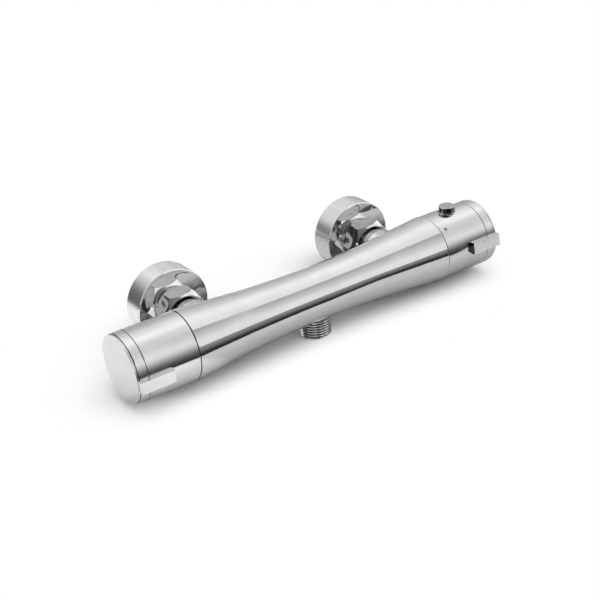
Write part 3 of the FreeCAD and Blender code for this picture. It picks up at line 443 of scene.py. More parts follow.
def lathe_group():
    """Fine turning lines across the axis of a turned piece, with a little stain."""
    tree, scale, ends = new_group("turning_lines", "Stain Scale", 120.0, ("Lines", "Stain"))
    place = object_place(tree)
    stain = noise(tree, place, scale, 5.0, 0.65)
    tree.links.new(noise(tree, stretched(tree, place, TURNING), 1.0, 3.0), ends["Lines"])
    tree.links.new(remap(tree, stain, 0.3, 0.75, 0.0, 1.0), ends["Stain"])
    return tree


def moulding_group():
    """Fine spark-eroded grain and cloudy tone of a moulded part."""
    tree, scale, ends = new_group("moulding", "Grain Scale", 2500.0, ("Grain", "Cloud"))
    place = object_place(tree)
    cloud = noise(tree, place, CLOUDING, 3.0)
    tree.links.new(noise(tree, place, scale, 2.0), ends["Grain"])
    tree.links.new(remap(tree, cloud, 0.3, 0.7, 0.0, 1.0), ends["Cloud"])
    return tree


HANDLING = handling_group()
LATHE = lathe_group()
MOULDING = moulding_group()


# ---- materials

WHITE = (1, 1, 1)
SMEARED_TONE = 0.93             # share of its colour that plating keeps where it is smeared
SMEARED_GLOSS = 1.6             # its roughness there grows by this factor
SMEAR_ADDS = 0.01               # and by this
SCRATCH_ADDS = 0.04
SATIN_METALLIC = 0.85           # lets a little matt light into the brushed skin
SATIN_SMEAR_ADDS = 0.04
BROAD_STREAKS = (55.0, 3.0, 55.0)   # cells in a metre
BROAD_SHARE = 0.75
FINE_STREAKS = (260.0, 3.0, 260.0)
FINE_SHARE = 0.12
STAIN_ADDS = 0.15
TURNING_DEPTH = 0.03 * MM
CLOUD_ADDS = 0.08
GRAIN_DEPTH = 0.04 * MM


def new_material(name, group, scale_name, scale, metallic):
    """Material with one effect group and a Principled shader."""
    material = bpy.data.materials.new(name)
    material.use_nodes = True
    tree = material.node_tree
    shader = tree.nodes["Principled BSDF"]
    shader.inputs["Metallic"].default_value = metallic
    effect = tree.nodes.new("ShaderNodeGroup")
    effect.node_tree = group
    effect.inputs[scale_name].default_value = scale
    return material, tree, shader, effect


def relief(tree, shader, height, strength, distance):
    bump = tree.nodes.new("ShaderNodeBump")
    bump.inputs["Strength"].default_value = strength
    bump.inputs["Distance"].default_value = distance
    tree.links.new(height, bump.inputs["Height"])
    tree.links.new(bump.outputs["Normal"], shader.inputs["Normal"])


def chrome(name, colour, gloss, smear_scale=60.0, wave=0.0024 * MM):
    """Plated metal. Gloss is its roughness where it is clean, and wave the depth of its buffed hollows."""
    material, tree, shader, effect = new_material(name, HANDLING, "Smear Scale", smear_scale, 1.0)
    darker = tuple(value * SMEARED_TONE for value in colour)
    colour_mask = arithmetic(tree, "MAXIMUM", effect.outputs["Smear"], effect.outputs["Scratch"])
    tree.links.new(mixed(tree, colour_mask, colour, darker), shader.inputs["Base Color"])
    rough = remap(tree, effect.outputs["Smear"], 0.0, 1.0, gloss, gloss * SMEARED_GLOSS + SMEAR_ADDS)
    scratch_rough = arithmetic(tree, "MULTIPLY", effect.outputs["Scratch"], SCRATCH_ADDS)
    tree.links.new(arithmetic(tree, "ADD", rough, scratch_rough), shader.inputs["Roughness"])
    relief(tree, shader, effect.outputs["Waviness"], 1.0, wave)
    return material


def satin(name, colour, darker, roughness):
    """Plated metal brushed along Y, with soft streaks of tone round the piece."""
    material, tree, shader, effect = new_material(name, HANDLING, "Smear Scale", 20.0, SATIN_METALLIC)
    place = object_place(tree)
    broad = noise(tree, stretched(tree, place, BROAD_STREAKS), 1.0, 0.0)
    fine = noise(tree, stretched(tree, place, FINE_STREAKS), 1.0, 0.0)
    streak = arithmetic(tree, "ADD", remap(tree, broad, 0.4, 0.7, 0.0, BROAD_SHARE),
                        remap(tree, fine, 0.4, 0.7, 0.0, FINE_SHARE))
    tree.links.new(mixed(tree, streak, colour, darker), shader.inputs["Base Color"])
    tree.links.new(remap(tree, effect.outputs["Smear"], 0.0, 1.0, roughness, roughness + SATIN_SMEAR_ADDS),
                   shader.inputs["Roughness"])
    return material


def turned_metal(name, colour, stained, roughness):
    """Bare machined metal with turning lines."""
    material, tree, shader, effect = new_material(name, LATHE, "Stain Scale", 120.0, 1.0)
    tree.links.new(mixed(tree, effect.outputs["Stain"], colour, stained), shader.inputs["Base Color"])
    tree.links.new(remap(tree, effect.outputs["Stain"], 0.0, 1.0, roughness, roughness + STAIN_ADDS),
                   shader.inputs["Roughness"])
    relief(tree, shader, effect.outputs["Lines"], 0.25, TURNING_DEPTH)
    return material


def moulded(name, colour, pale, roughness, grain_scale, grain):
    """Moulded plastic, rubber or fired ceramic."""
    material, tree, shader, effect = new_material(name, MOULDING, "Grain Scale", grain_scale, 0.0)
    tree.links.new(mixed(tree, effect.outputs["Cloud"], colour, pale), shader.inputs["Base Color"])
    tree.links.new(remap(tree, effect.outputs["Cloud"], 0.0, 1.0, roughness, roughness + CLOUD_ADDS),
                   shader.inputs["Roughness"])
    relief(tree, shader, effect.outputs["Grain"], grain, GRAIN_DEPTH)
    return material


BODY_CHROME = chrome("body_chrome", (0.8, 0.805, 0.815), 0.055)
HANDLE_CHROME = chrome("handle_chrome", (0.8, 0.805, 0.815), 0.09)
DISC_CHROME = chrome("end_disc_chrome", (0.78, 0.785, 0.79), 0.16)
LEVER_CHROME = chrome("lever_chrome", (0.84, 0.845, 0.85), 0.12)
# Near-black chrome for the right lever's inner end: painted shade standing in for a dark reflection.
LEVER_END_SHADE_CHROME = chrome("lever_end_shaded_chrome", (0.06, 0.061, 0.063), 0.08)
BUTTON_CHROME = chrome("button_chrome", (0.66, 0.665, 0.67), 0.06)
# Dark chrome for the button's round side: painted shade for the dark things it mirrors.
BUTTON_SIDE_SHADE_CHROME = chrome("button_side_shaded_chrome", (0.16, 0.162, 0.165), 0.04)
MIRROR_CHROME = chrome("flange_face_chrome", (0.95, 0.953, 0.958), 0.03, 40.0, 0.35 * MM)
SATIN_CHROME = satin("flange_side_chrome", (0.95, 0.952, 0.955), (0.62, 0.625, 0.63), 0.24)
# Nut flats in dark chrome and chamfers in bright chrome: painted shade and painted highlights for what the nut
# mirrors.
NUT_FLATS_SHADE_CHROME = chrome("nut_flats_shaded_chrome", (0.46, 0.465, 0.47), 0.03, 90.0, 1.2 * MM)
NUT_CHAMFER_HIGHLIGHT_CHROME = chrome("nut_chamfer_highlight_chrome", (0.9, 0.905, 0.91), 0.05, 90.0)
# Dark chrome for the tailpieces: painted shade for the dark surroundings they mirror.
TAIL_SHADE_CHROME = chrome("tailpiece_shaded_chrome", (0.42, 0.425, 0.43), 0.04, 90.0)
OUTLET_CHROME = chrome("outlet_chrome", (0.9, 0.905, 0.91), 0.08, 90.0)
# Dark chrome for the deep faces of the outlet thread's groove: painted shade in the recess.
GROOVE_SHADE_CHROME = chrome("thread_groove_shaded_chrome", (0.2, 0.205, 0.21), 0.12, 90.0)
THREAD_CHROME = chrome("thread_chrome", (0.74, 0.745, 0.75), 0.14, 90.0)
BRASS = turned_metal("turned_brass", (0.78, 0.6, 0.3), (0.6, 0.42, 0.18), 0.22)
COPPER = turned_metal("drawn_copper", (0.8, 0.44, 0.28), (0.55, 0.27, 0.15), 0.25)
STAINLESS = turned_metal("bright_stainless", (0.62, 0.62, 0.61), (0.5, 0.5, 0.49), 0.22)
GREY_PLASTIC = moulded("grey_plastic", (0.1, 0.105, 0.11), (0.14, 0.145, 0.15), 0.42, 2500.0, 0.3)
WHITE_PLASTIC = moulded("white_plastic", (0.78, 0.78, 0.75), (0.7, 0.7, 0.67), 0.38, 2500.0, 0.2)
CERAMIC = moulded("lapped_ceramic", (0.85, 0.85, 0.82), (0.8, 0.8, 0.77), 0.18, 5000.0, 0.05)
RUBBER = moulded("black_rubber", (0.02, 0.02, 0.021), (0.035, 0.035, 0.036), 0.6, 1800.0, 0.4)
MARK_PAINT = moulded("mark_paint", (0.16, 0.16, 0.165), (0.2, 0.2, 0.205), 0.5, 2500.0, 0.1)

SLOT_MATERIALS = {
    "chrome": BODY_CHROME,
    "brass": BRASS,
    "copper": COPPER,
    "stainless": STAINLESS,
    "grey_plastic": GREY_PLASTIC,
    "white_plastic": WHITE_PLASTIC,
    "ceramic": CERAMIC,
    "rubber": RUBBER,
}


def finish_solids():
    """Give each solid that stays in sight, or inside, the finish of its slot."""
    for subpart in frame["record"]["subparts"]:
        node = frame["nodes"][subpart["node"]]
        node.data.materials.clear()
        node.data.materials.append(SLOT_MATERIALS[subpart["material_slot"]])


# ---- body

def bar_radius(u):
    """Radius of the body's skin at a distance u from its middle."""
    u = abs(u)
    if u <= WAIST_HALF:
        return WAIST_RADIUS + WAIST_ARC - math.sqrt(WAIST_ARC ** 2 - u ** 2)
    slope = WAIST_HALF / math.sqrt(WAIST_ARC ** 2 - WAIST_HALF ** 2)
    return bar_radius(WAIST_HALF) + slope * (u - WAIST_HALF)


def skin_reach(offset_x, across):
    """How far the skin stands from the axis plane at a point beside a boss's own axis."""
    radius = bar_radius(offset_x)
    return math.sqrt(radius ** 2 - across ** 2)


def inlet_boss(bm, place_x):
    """Round bored boss behind the bar with a small fillet at its foot, closed inside the bar."""
    across = Y.cross(X)
    centre = BAR_AXIS + X * place_x
    radius = INLET_BOSS_RADIUS
    foot = ring_of_verts(bm, centre, Y, radius + BOSS_FILLET, TURN_STEPS)
    ring = foot
    for step in range(BOSS_FILLET_STEPS + 1):
        turn = math.pi / 2 * step / BOSS_FILLET_STEPS
        if step:
            ring = next_ring(bm, ring)
        for vert in ring:
            flat = from_axis(vert.co, centre, Y).normalized() * (radius + BOSS_FILLET * (1 - math.sin(turn)))
            lift = skin_reach(place_x + flat.dot(X), flat.dot(across)) + BOSS_FILLET * (1 - math.cos(turn))
            vert.co = centre + flat + Y * (lift - FOOT_SINK * (step == 0))
    reach = BOSS_FACE - BAR_AXIS.y
    inner_end = math.sqrt(bar_radius(place_x) ** 2 - TAIL_SHANK ** 2) - BOSS_BURIED
    for height, wide in ((reach - BOSS_EDGE, radius), (reach - BOSS_EDGE * EASE, radius - BOSS_EDGE * EASE),
                         (reach, radius - BOSS_EDGE), (reach, TAIL_SHANK), (inner_end, TAIL_SHANK)):
        ring = next_ring(bm, ring)
        for vert in ring:
            vert.co = centre + from_axis(vert.co, centre, Y).normalized() * wide + Y * height
    bmesh.ops.bridge_loops(bm, edges=ring_edges(foot) + ring_edges(ring))


def body():
    """Waisted bar with its end spigots, its drilled waterways and the two inlet bosses."""
    bm = bmesh.new()
    sweep_angle = 2 * math.asin(WAIST_HALF / WAIST_ARC)
    arc_centre = BAR_AXIS - Y * (WAIST_RADIUS + WAIST_ARC)
    first = bm.verts.new(BAR_AXIS + X * -WAIST_HALF - Y * bar_radius(WAIST_HALF))
    bmesh.ops.spin(bm, geom=[first], cent=arc_centre, axis=Z, angle=-sweep_angle, steps=WAIST_STEPS)
    sweep = sorted(bm.verts, key=lambda vert: vert.co.x)
    end_radius = bar_radius(BODY_HALF)
    corners = [(u, bar_radius(u)) for u in (*FLANK_RINGS, BODY_HALF - BODY_EDGE)]
    corners += [(BODY_HALF - BODY_EDGE * EASE, end_radius - BODY_EDGE * EASE), (BODY_HALF, end_radius - BODY_EDGE),
                (BODY_HALF, SPIGOT_RADIUS), (SPIGOT_END, SPIGOT_RADIUS), (SPIGOT_END, 0)]
    for side, tip in ((LEFT, sweep[0]), (RIGHT, sweep[-1])):
        for u, radius in corners:
            vert = bm.verts.new(BAR_AXIS + X * side * u - Y * radius)
            bm.edges.new((tip, vert))
            tip = vert
    bmesh.ops.spin(bm, geom=bm.verts[:] + bm.edges[:], cent=BAR_AXIS, axis=X, angle=FULL_TURN,
                   steps=BAR_STEPS, use_merge=True, use_duplicate=False)
    close_up(bm)
    bm = drilled_bar(bm)
    for place_x in (-INLET_X, INLET_X):
        inlet_boss(bm, place_x)
    piece("body", bm, "valve_body", [BODY_CHROME], ["body_casting"])


def drilled_bar(bm):
    """The bar with the stepped holes of the outlet and the inlets cut into it."""
    blank = mesh_object("bar_blank", bm)
    shank_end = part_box("hot_tailpiece")[0].y - BAR_AXIS.y
    drill_bm = bmesh.new()
    for centre, out, seat_end, seat, bore in (
            (BAR_AXIS, -Z, OUTLET_SEAT_END, OUTLET_SEAT, OUTLET_BORE),
            (BAR_AXIS - X * INLET_X, Y, shank_end, TAIL_SHANK, TAIL_BORE),
            (BAR_AXIS + X * INLET_X, Y, shank_end, TAIL_SHANK, TAIL_BORE)):
        end = seat_end - DRILL_DEEPER
        wide = seat + DRILL_WIDER
        turn_outline(drill_bm, [(WATERWAY_END, 0), (WATERWAY_END, bore), (end, bore), (end, wide),
                                (DRILL_REACH, wide), (DRILL_REACH, 0)], centre, out, SMALL_TURN_STEPS)
    close_up(drill_bm)
    drill = mesh_object("waterway_drill", drill_bm)
    cut = blank.modifiers.new("waterway", "BOOLEAN")
    cut.operation = "DIFFERENCE"
    cut.solver = "EXACT"
    cut.object = drill
    result = bpy.data.meshes.new_from_object(blank.evaluated_get(bpy.context.evaluated_depsgraph_get()))
    drilled = bmesh.new()
    drilled.from_mesh(result)
    used_meshes = (blank.data, drill.data, result)
    for obj in (blank, drill):
        bpy.data.objects.remove(obj)
    for mesh in used_meshes:
        bpy.data.meshes.remove(mesh)
    return drilled


# ---- handles

def handle_part(side, use, name, node, material, outline):
    """Part of the flow or the temperature handle, turned about the bar's axis."""
    turned_piece(use + name, use + "_handle", use + node, material, outline, BAR_AXIS, X * side, HANDLE_EDGE,
                 BAR_STEPS)


def handle_sleeve(side, use):
    """Round sleeve of a handle, with the web and the hub that sit on the spindle."""
    outline = [(SLEEVE_START, HANDLE_RADIUS), (SLEEVE_END, HANDLE_RADIUS), (SLEEVE_END, SLEEVE_BORE),
               (WEB_END, SLEEVE_BORE), (WEB_END, HUB_BORE), (HUB_START, HUB_BORE),
               (HUB_START, HUB_RADIUS), (WEB_START, HUB_RADIUS), (WEB_START, SLEEVE_BORE),
               (SLEEVE_START, SLEEVE_BORE)]
    handle_part(side, use, "_sleeve", "_handle_sleeve", HANDLE_CHROME, outline)


def end_ring(side, use):
    """Narrow ring at the handle's end, plugged into the sleeve."""
    outline = [(RING_START, HANDLE_RADIUS), (RING_END, HANDLE_RADIUS), (RING_END, RING_BORE),
               (RING_INNER_END, RING_BORE), (RING_INNER_END, SLEEVE_BORE - TOUCH),
               (RING_START, SLEEVE_BORE - TOUCH)]
    handle_part(side, use, "_ring", "_end_ring", HANDLE_CHROME, outline)


def end_disc(side, use):
    """Flat disc that closes the end ring, with a rim that plugs into it."""
    back = BAR_END - DISC_THICKNESS
    outline = [(BAR_END, 0), (BAR_END, DISC_RADIUS), (back, DISC_RADIUS), (back, DISC_PLUG),
               (RING_START, DISC_PLUG), (RING_START, DISC_PLUG - DISC_RIM),
               (back, DISC_PLUG - DISC_RIM), (back, 0)]
    handle_part(side, use, "_disc", "_end_disc", DISC_CHROME, outline)


def lever(side, use):
    """Square tab with a flat face, whose foot follows the handle's curve."""
    bm = bmesh.new()
    foot = HANDLE_RADIUS - TOUCH
    start, end = sorted((side * LEVER_START, side * LEVER_END))
    top = LEVER_FACE + LEVER_SPARE
    corners = [(start, foot), (end, foot), (end, top), (start, top)]
    verts = [bm.verts.new(BAR_AXIS + X * u - Y * radius) for u, radius in corners]
    section = bm.faces.new(verts)
    bmesh.ops.rotate(bm, verts=verts, cent=BAR_AXIS, matrix=Matrix.Rotation(-LEVER_SPREAD, 3, "X"))
    bmesh.ops.spin(bm, geom=[section] + section.edges[:], cent=BAR_AXIS, axis=X, angle=2 * LEVER_SPREAD,
                   steps=LEVER_STEPS)
    for direction, reach in ((Z, LEVER_HEIGHT / 2), (-Z, LEVER_HEIGHT / 2), (-Y, LEVER_FACE)):
        made = bmesh.ops.bisect_plane(bm, geom=bm.verts[:] + bm.edges[:] + bm.faces[:],
                                      plane_co=BAR_AXIS + direction * reach, plane_no=direction,
                                      clear_outer=True)
        rim = [item for item in made["geom_cut"] if isinstance(item, bmesh.types.BMEdge)]
        bmesh.ops.edgeloop_fill(bm, edges=rim)
    close_up(bm)
    edges = []
    for edge in bm.edges:
        reach = from_axis((edge.verts[0].co + edge.verts[1].co) / 2, BAR_AXIS, X)
        if len(edge.link_faces) == 2 and edge.calc_face_angle() > math.radians(40) \
                and reach.length > (foot + LEVER_FACE) / 2:
            edges.append(edge)
    bmesh.ops.bevel(bm, geom=edges, offset=LEVER_EDGE, offset_type="OFFSET", segments=LEVER_EDGE_STEPS,
                    profile=0.5, affect="EDGES", clamp_overlap=True, material=-1)
    bm.normal_update()
    for face in bm.faces:
        # The right lever's inner end face gets the near-black chrome: painted shade in place of what it mirrors.
        face.material_index = 1 if side == RIGHT and face.normal.x < -FACING else 0
    bmesh.ops.rotate(bm, verts=bm.verts, cent=BAR_AXIS,
                     matrix=Matrix.Rotation(math.radians(-LEVER_ANGLE[side]), 3, "X"))
    piece(use + "_tab", bm, use + "_handle", [LEVER_CHROME, LEVER_END_SHADE_CHROME], [use + "_lever"])


def marks():
    """Generic set marks on the temperature handle: a round dot and a short dash."""
    bm = bmesh.new()
    out = direction_round_bar(DOT_ANGLE)
    turn_outline(bm, [(DOT_ROOT, 0), (DOT_ROOT, DOT_RADIUS), (DOT_TOP, DOT_RADIUS), (DOT_TOP, 0)],
                 BAR_AXIS + X * MARK_X, out, DOT_STEPS)
    soften(bm, DOT_EDGE, 1)
    piece("set_dot", bm, "temperature_handle", [MARK_PAINT])
    bm = bmesh.new()
    bmesh.ops.create_cube(bm, size=1.0)
    bmesh.ops.scale(bm, vec=Vector(DASH_SIZE), verts=bm.verts)
    soften(bm, DASH_EDGE)
    bmesh.ops.translate(bm, vec=BAR_AXIS + X * MARK_X - Y * DASH_MIDDLE, verts=bm.verts)
    bmesh.ops.rotate(bm, verts=bm.verts, cent=BAR_AXIS,
                     matrix=Matrix.Rotation(math.radians(-DASH_ANGLE), 3, "X"))
    piece("set_dash", bm, "temperature_handle", [MARK_PAINT])


# ---- safety button

def button():
    """Push button with its collar, on top of the temperature handle."""
    centre = BAR_AXIS + X * BUTTON_X
    out = direction_round_bar(BUTTON_ANGLE)
    skirt = BUTTON_TOP - BUTTON_SKIRT
    roof = BUTTON_TOP - BUTTON_ROOF
    pocket = BUTTON_RADIUS - BUTTON_WALL
    bm = bmesh.new()
    turn_outline(bm, [(BUTTON_TOP, 0), (BUTTON_TOP, BUTTON_RADIUS), (skirt, BUTTON_RADIUS),
                      (skirt, pocket), (roof, pocket), (roof, 0)], centre, out, SMALL_TURN_STEPS)
    soften(bm, BUTTON_EDGE, BUTTON_EDGE_STEPS)
    bm.normal_update()
    for face in bm.faces:
        # Faces of the round side get the dark chrome, a painted shade; the top and edges keep the plain button
        # chrome.
        face.material_index = 1 if abs(face.normal.dot(out)) < SIDE_LEAN else 0
    piece("button_cap", bm, "button", [BUTTON_CHROME, BUTTON_SIDE_SHADE_CHROME], ["safety_button"])
    collar = [(GUIDE_LOW, GUIDE_STEM_BORE), (GUIDE_LOW, GUIDE_RADIUS), (GUIDE_FLANGE_LOW, GUIDE_RADIUS),
              (GUIDE_FLANGE_LOW, GUIDE_FLANGE), (GUIDE_FLANGE_TOP, GUIDE_FLANGE), (GUIDE_FLANGE_TOP, GUIDE_RADIUS),
              (GUIDE_TOP, GUIDE_RADIUS), (GUIDE_TOP, GUIDE_BORE), (GUIDE_FLOOR, GUIDE_BORE),
              (GUIDE_FLOOR, GUIDE_STEM_BORE)]
    turned_piece("button_collar", "temperature_handle", "button_guide", BUTTON_CHROME, collar, centre, out,
                 FITTING_EDGE, SMALL_TURN_STEPS)


# ---- outlet and inlets

def cut_thread(bm, centre, axis, radius, start, end):
    """Press a helical groove into the fine rings of a turned skin between two places on its axis."""
    out = crosswise(axis)
    side = axis.cross(out)
    for vert in bm.verts:
        along = (vert.co - centre).dot(axis)
        flat = from_axis(vert.co, centre, axis)
        if abs(flat.length - radius) > SKIN_TOLERANCE or not start < along < end:
            continue
        turn = math.atan2(flat.dot(side), flat.dot(out)) / FULL_TURN
        phase = (along / PIPE_PITCH + turn) % 1.0
        depth = min(1.0, max(0.0, THREAD_SLOPE * abs(2 * phase - 1) - THREAD_CREST))
        depth *= min(1.0, (along - start) / THREAD_RUN_OUT, (end - along) / THREAD_RUN_OUT)
        vert.co -= flat.normalized() * THREAD_DEPTH * depth


def threaded_outline(start, end, radius, bore, edge):
    """Outline of a threaded tube with fine rings to carry the thread."""
    rings = round((end - start) / (PIPE_PITCH / THREAD_RINGS))
    corners = [(start, bore), (start, radius - edge)]
    corners += [(start + edge + (end - start - 2 * edge) * k / rings, radius) for k in range(rings + 1)]
    corners += [(end, radius - edge), (end, bore)]
    return corners


def outlet():
    """Threaded outlet under the middle of the bar."""
    out = -Z
    tip = BAR_AXIS.z - OUTLET_END
    bm = bmesh.new()
    outline = threaded_outline(OUTLET_START, tip, SMALL_THREAD_RADIUS, OUTLET_BORE, OUTLET_EDGE)
    turn_outline(bm, outline, BAR_AXIS, out)
    cut_thread(bm, BAR_AXIS, out, SMALL_THREAD_RADIUS, OUTLET_START, tip - OUTLET_PLAIN)
    # Faces deep in the thread's groove get the dark chrome, a painted shade.
    for face in bm.faces:
        radius = from_axis(face.calc_center_median(), BAR_AXIS, Z).length
        face.material_index = 1 if OUTLET_SEAT < radius < SMALL_THREAD_RADIUS - THREAD_DEPTH / 2 else 0
    piece("threaded_outlet", bm, "valve_body", [OUTLET_CHROME, GROOVE_SHADE_CHROME], ["outlet_nipple"])


def inlet_centre(side):
    """Where an inlet's axis meets the wall."""
    return Vector((side * INLET_X, 0, BAR_AXIS.z))


def tailpiece(side, water):
    """Tube from the inlet boss into the union nut, with a shoulder and a collar that holds the nut."""
    base = BOSS_FACE + TAIL_GASKET
    neck = base + TAIL_SHOULDER_LENGTH
    collar = NUT_START + NUT_LIP + TOUCH
    low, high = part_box(water + "_tailpiece")
    outline = [(low.y, TAIL_BORE), (low.y, TAIL_SHANK), (base, TAIL_SHANK), (base, TAIL_SHOULDER),
               (neck, TAIL_SHOULDER), (neck, TAIL_NECK), (collar, TAIL_NECK), (collar, TAIL_COLLAR),
               (high.y, TAIL_COLLAR), (high.y, TAIL_BORE)]
    # The whole tube is in the dark chrome, a painted shade.
    turned_piece(water + "_tail", "valve_body", water + "_tailpiece", TAIL_SHADE_CHROME, outline, inlet_centre(side), Y,
                 FITTING_EDGE)


def union_nut(side, water):
    """Hexagon nut with a cone chamfer at each end, which gives its flats their rounded ends."""
    centre = inlet_centre(side)
    flat_face = NUT_FLATS / 2 * NUT_FACE_SHARE
    bm = bmesh.new()
    ring = ring_of_verts(bm, centre, Y, NUT_FLATS / 2, NUT_STEPS)
    angles = [math.atan2((vert.co - centre).z, (vert.co - centre).x) for vert in ring]

    def hexagon_radius(angle):
        sector = (angle - math.radians(NUT_TURN[side])) % math.radians(60) - math.radians(30)
        return NUT_FLATS / 2 / math.cos(sector)

    def place(radius_at, y_at):
        for vert, angle in zip(ring, angles):
            radius = radius_at(angle)
            vert.co = centre + Vector((radius * math.cos(angle), y_at(angle), radius * math.sin(angle)))

    def slope(angle):
        return max(0.0, (hexagon_radius(angle) - flat_face) * math.tan(NUT_CHAMFER_ANGLE))

    lip_end = NUT_START + NUT_LIP
    rows = [
        (lambda a: NUT_BORE, lambda a: lip_end),
        (lambda a: NUT_LIP_BORE, lambda a: lip_end),
        (lambda a: NUT_LIP_BORE, lambda a: NUT_START + NUT_EDGE),
        (lambda a: NUT_LIP_BORE + NUT_EDGE, lambda a: NUT_START),
        (lambda a: flat_face, lambda a: NUT_START),
        (hexagon_radius, lambda a: NUT_START + slope(a)),
        (hexagon_radius, lambda a: NUT_END - slope(a)),
        (lambda a: flat_face, lambda a: NUT_END),
        (lambda a: NUT_BORE + NUT_EDGE, lambda a: NUT_END),
        (lambda a: NUT_BORE, lambda a: NUT_END - NUT_EDGE),
    ]
    first = ring
    place(*rows[0])
    for row in rows[1:]:
        ring = next_ring(bm, ring)
        place(*row)
    bmesh.ops.bridge_loops(bm, edges=ring_edges(first) + ring_edges(ring))
    bm.normal_update()
    # Chamfer faces get the bright chrome as painted highlights, and the flats the dark chrome as painted shade.
    low, high = NUT_CHAMFER_LEAN
    for face in bm.faces:
        face.material_index = 1 if low < abs(face.normal.y) < high else 0
    piece(water + "_nut_hexagon", bm, water + "_nut", [NUT_FLATS_SHADE_CHROME, NUT_CHAMFER_HIGHLIGHT_CHROME],
          [water + "_union_nut"], smooth=20.0)


def eccentric_union(side, water):
    """Large thread for the nut, a shoulder, and the small wall thread below its axis."""
    front = inlet_centre(side)
    rear = front - Z * UNION_DROP
    bm = bmesh.new()
    turn_outline(bm, threaded_outline(UNION_START, SHOULDER_START + SHOULDER_OVERLAP, LARGE_THREAD_RADIUS,
                                      UNION_BORE, UNION_EDGE), front, Y)
    cut_thread(bm, front, Y, LARGE_THREAD_RADIUS, UNION_START + UNION_PLAIN, FLANGE_FACE)
    turn_outline(bm, threaded_outline(SHOULDER_END - SHOULDER_OVERLAP, UNION_END, SMALL_THREAD_RADIUS,
                                      WALL_BORE, UNION_EDGE), rear, Y)
    cut_thread(bm, rear, Y, SMALL_THREAD_RADIUS, SHOULDER_END + SHOULDER_PLAIN, UNION_END - UNION_PLAIN)
    loops = []
    for centre, radius, y in ((front, SHOULDER_RADIUS, SHOULDER_START), (front, SHOULDER_RADIUS, SHOULDER_END),
                              (rear, WALL_BORE, SHOULDER_END), (rear, WALL_BORE, SHOULDER_START)):
        loops.append(ring_edges(ring_of_verts(bm, centre + Y * y, Y, radius, TURN_STEPS)))
    for k in range(len(loops)):
        bmesh.ops.bridge_loops(bm, edges=loops[k - 1] + loops[k])
    piece(water + "_union", bm, "valve_body", [THREAD_CHROME], [water + "_eccentric_union"])


def wall_flange(side, water):
    """Deep round cover with a mirror face and a satin side."""
    centre = inlet_centre(side)
    inner = FLANGE_RADIUS - FLANGE_WALL
    plate = FLANGE_FACE + FLANGE_PLATE
    hub = FLANGE_HOLE + FLANGE_HUB
    hub_end = SHOULDER_START - FLANGE_HUB_GAP
    turns = [math.pi / 2 * k / FLANGE_EDGE_STEPS for k in range(FLANGE_EDGE_STEPS + 1)]
    arc = [(FLANGE_FACE + FLANGE_EDGE * (1 - math.sin(turn)), FLANGE_RADIUS - FLANGE_EDGE * (1 - math.cos(turn)))
           for turn in turns]
    outline = [(FLANGE_FACE, FLANGE_HOLE)] + arc[::-1] + [
        (WALL_Y, FLANGE_RADIUS), (WALL_Y, inner), (plate, inner), (plate, hub), (hub_end, hub),
        (hub_end, FLANGE_HOLE)]
    bm = bmesh.new()
    turn_outline(bm, outline, centre, Y, BAR_STEPS)
    soften(bm, FLANGE_SEAM, 1, 60.0)
    for face in bm.faces:
        middle_y = face.calc_center_median().y
        face.material_index = 1 if middle_y > FLANGE_FACE + FLANGE_EDGE else 0
    piece(water + "_flange", bm, "valve_body", [MIRROR_CHROME, SATIN_CHROME], [water + "_wall_flange"])


def spring(node, name, body_name):
    """Coil taken over from the frame's solid as a piece of its own, in stainless steel."""
    bm = bmesh.new()
    bm.from_mesh(frame["nodes"][node].data)
    coil = piece(name, bm, body_name, [STAINLESS], [node])
    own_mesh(coil)


# ---- studio

# Brightness of what polished metal mirrors, against the angle above the front, looked at along the bar.
# The three lists are for what the body sees, what the handles see and what the fittings' left sides see.
BODY_LIGHT = [
    (-170, 0.5), (-1, 0.9), (17, 0.94), (25, 0.93), (33, 0.82), (41, 0.7), (49, 0.62), (57, 0.53), (63, 0.46),
    (67, 0.94), (81, 0.97), (97, 1.07), (109, 1.08), (117, 1.0), (129, 0.82), (145, 0.67), (161, 0.55),
    (170, 0.5)]
HANDLE_LIGHT = [
    (-170, 0.46), (-1, 0.9), (33, 0.93), (41, 0.88), (49, 0.79), (65, 0.76), (73, 0.77), (81, 0.84), (89, 0.98),
    (97, 1.12), (105, 1.12), (113, 1.0), (121, 0.95), (129, 0.86), (145, 0.62), (161, 0.5), (170, 0.46)]
SIDE_LIGHT = [
    (-170, 0.05), (-40, 0.12), (-10, 0.05), (40, 0.06), (70, 0.2), (92, 0.9), (120, 1.0), (138, 1.0),
    (152, 0.6), (160, 0.12), (170, 0.05)]
BODY_VIEW = (0.405, 0.56)       # share of X in the directions that the body mirrors
BODY_VIEW_SOFT = 0.01           # half of the width over which its list goes over into the handles'
SIDE_VIEW = (0.05, 0.25)        # and where the fittings' list fades out
DOME_FOOT = 0.1                 # brightness of the sky for matt surfaces at the horizon
DOME_TOP = 3.1                  # and what it gains to its brightest spot, so that white paper renders white
DOME_POWER = 4.0
DOME_LEAN = math.radians(28)    # from straight above towards the front

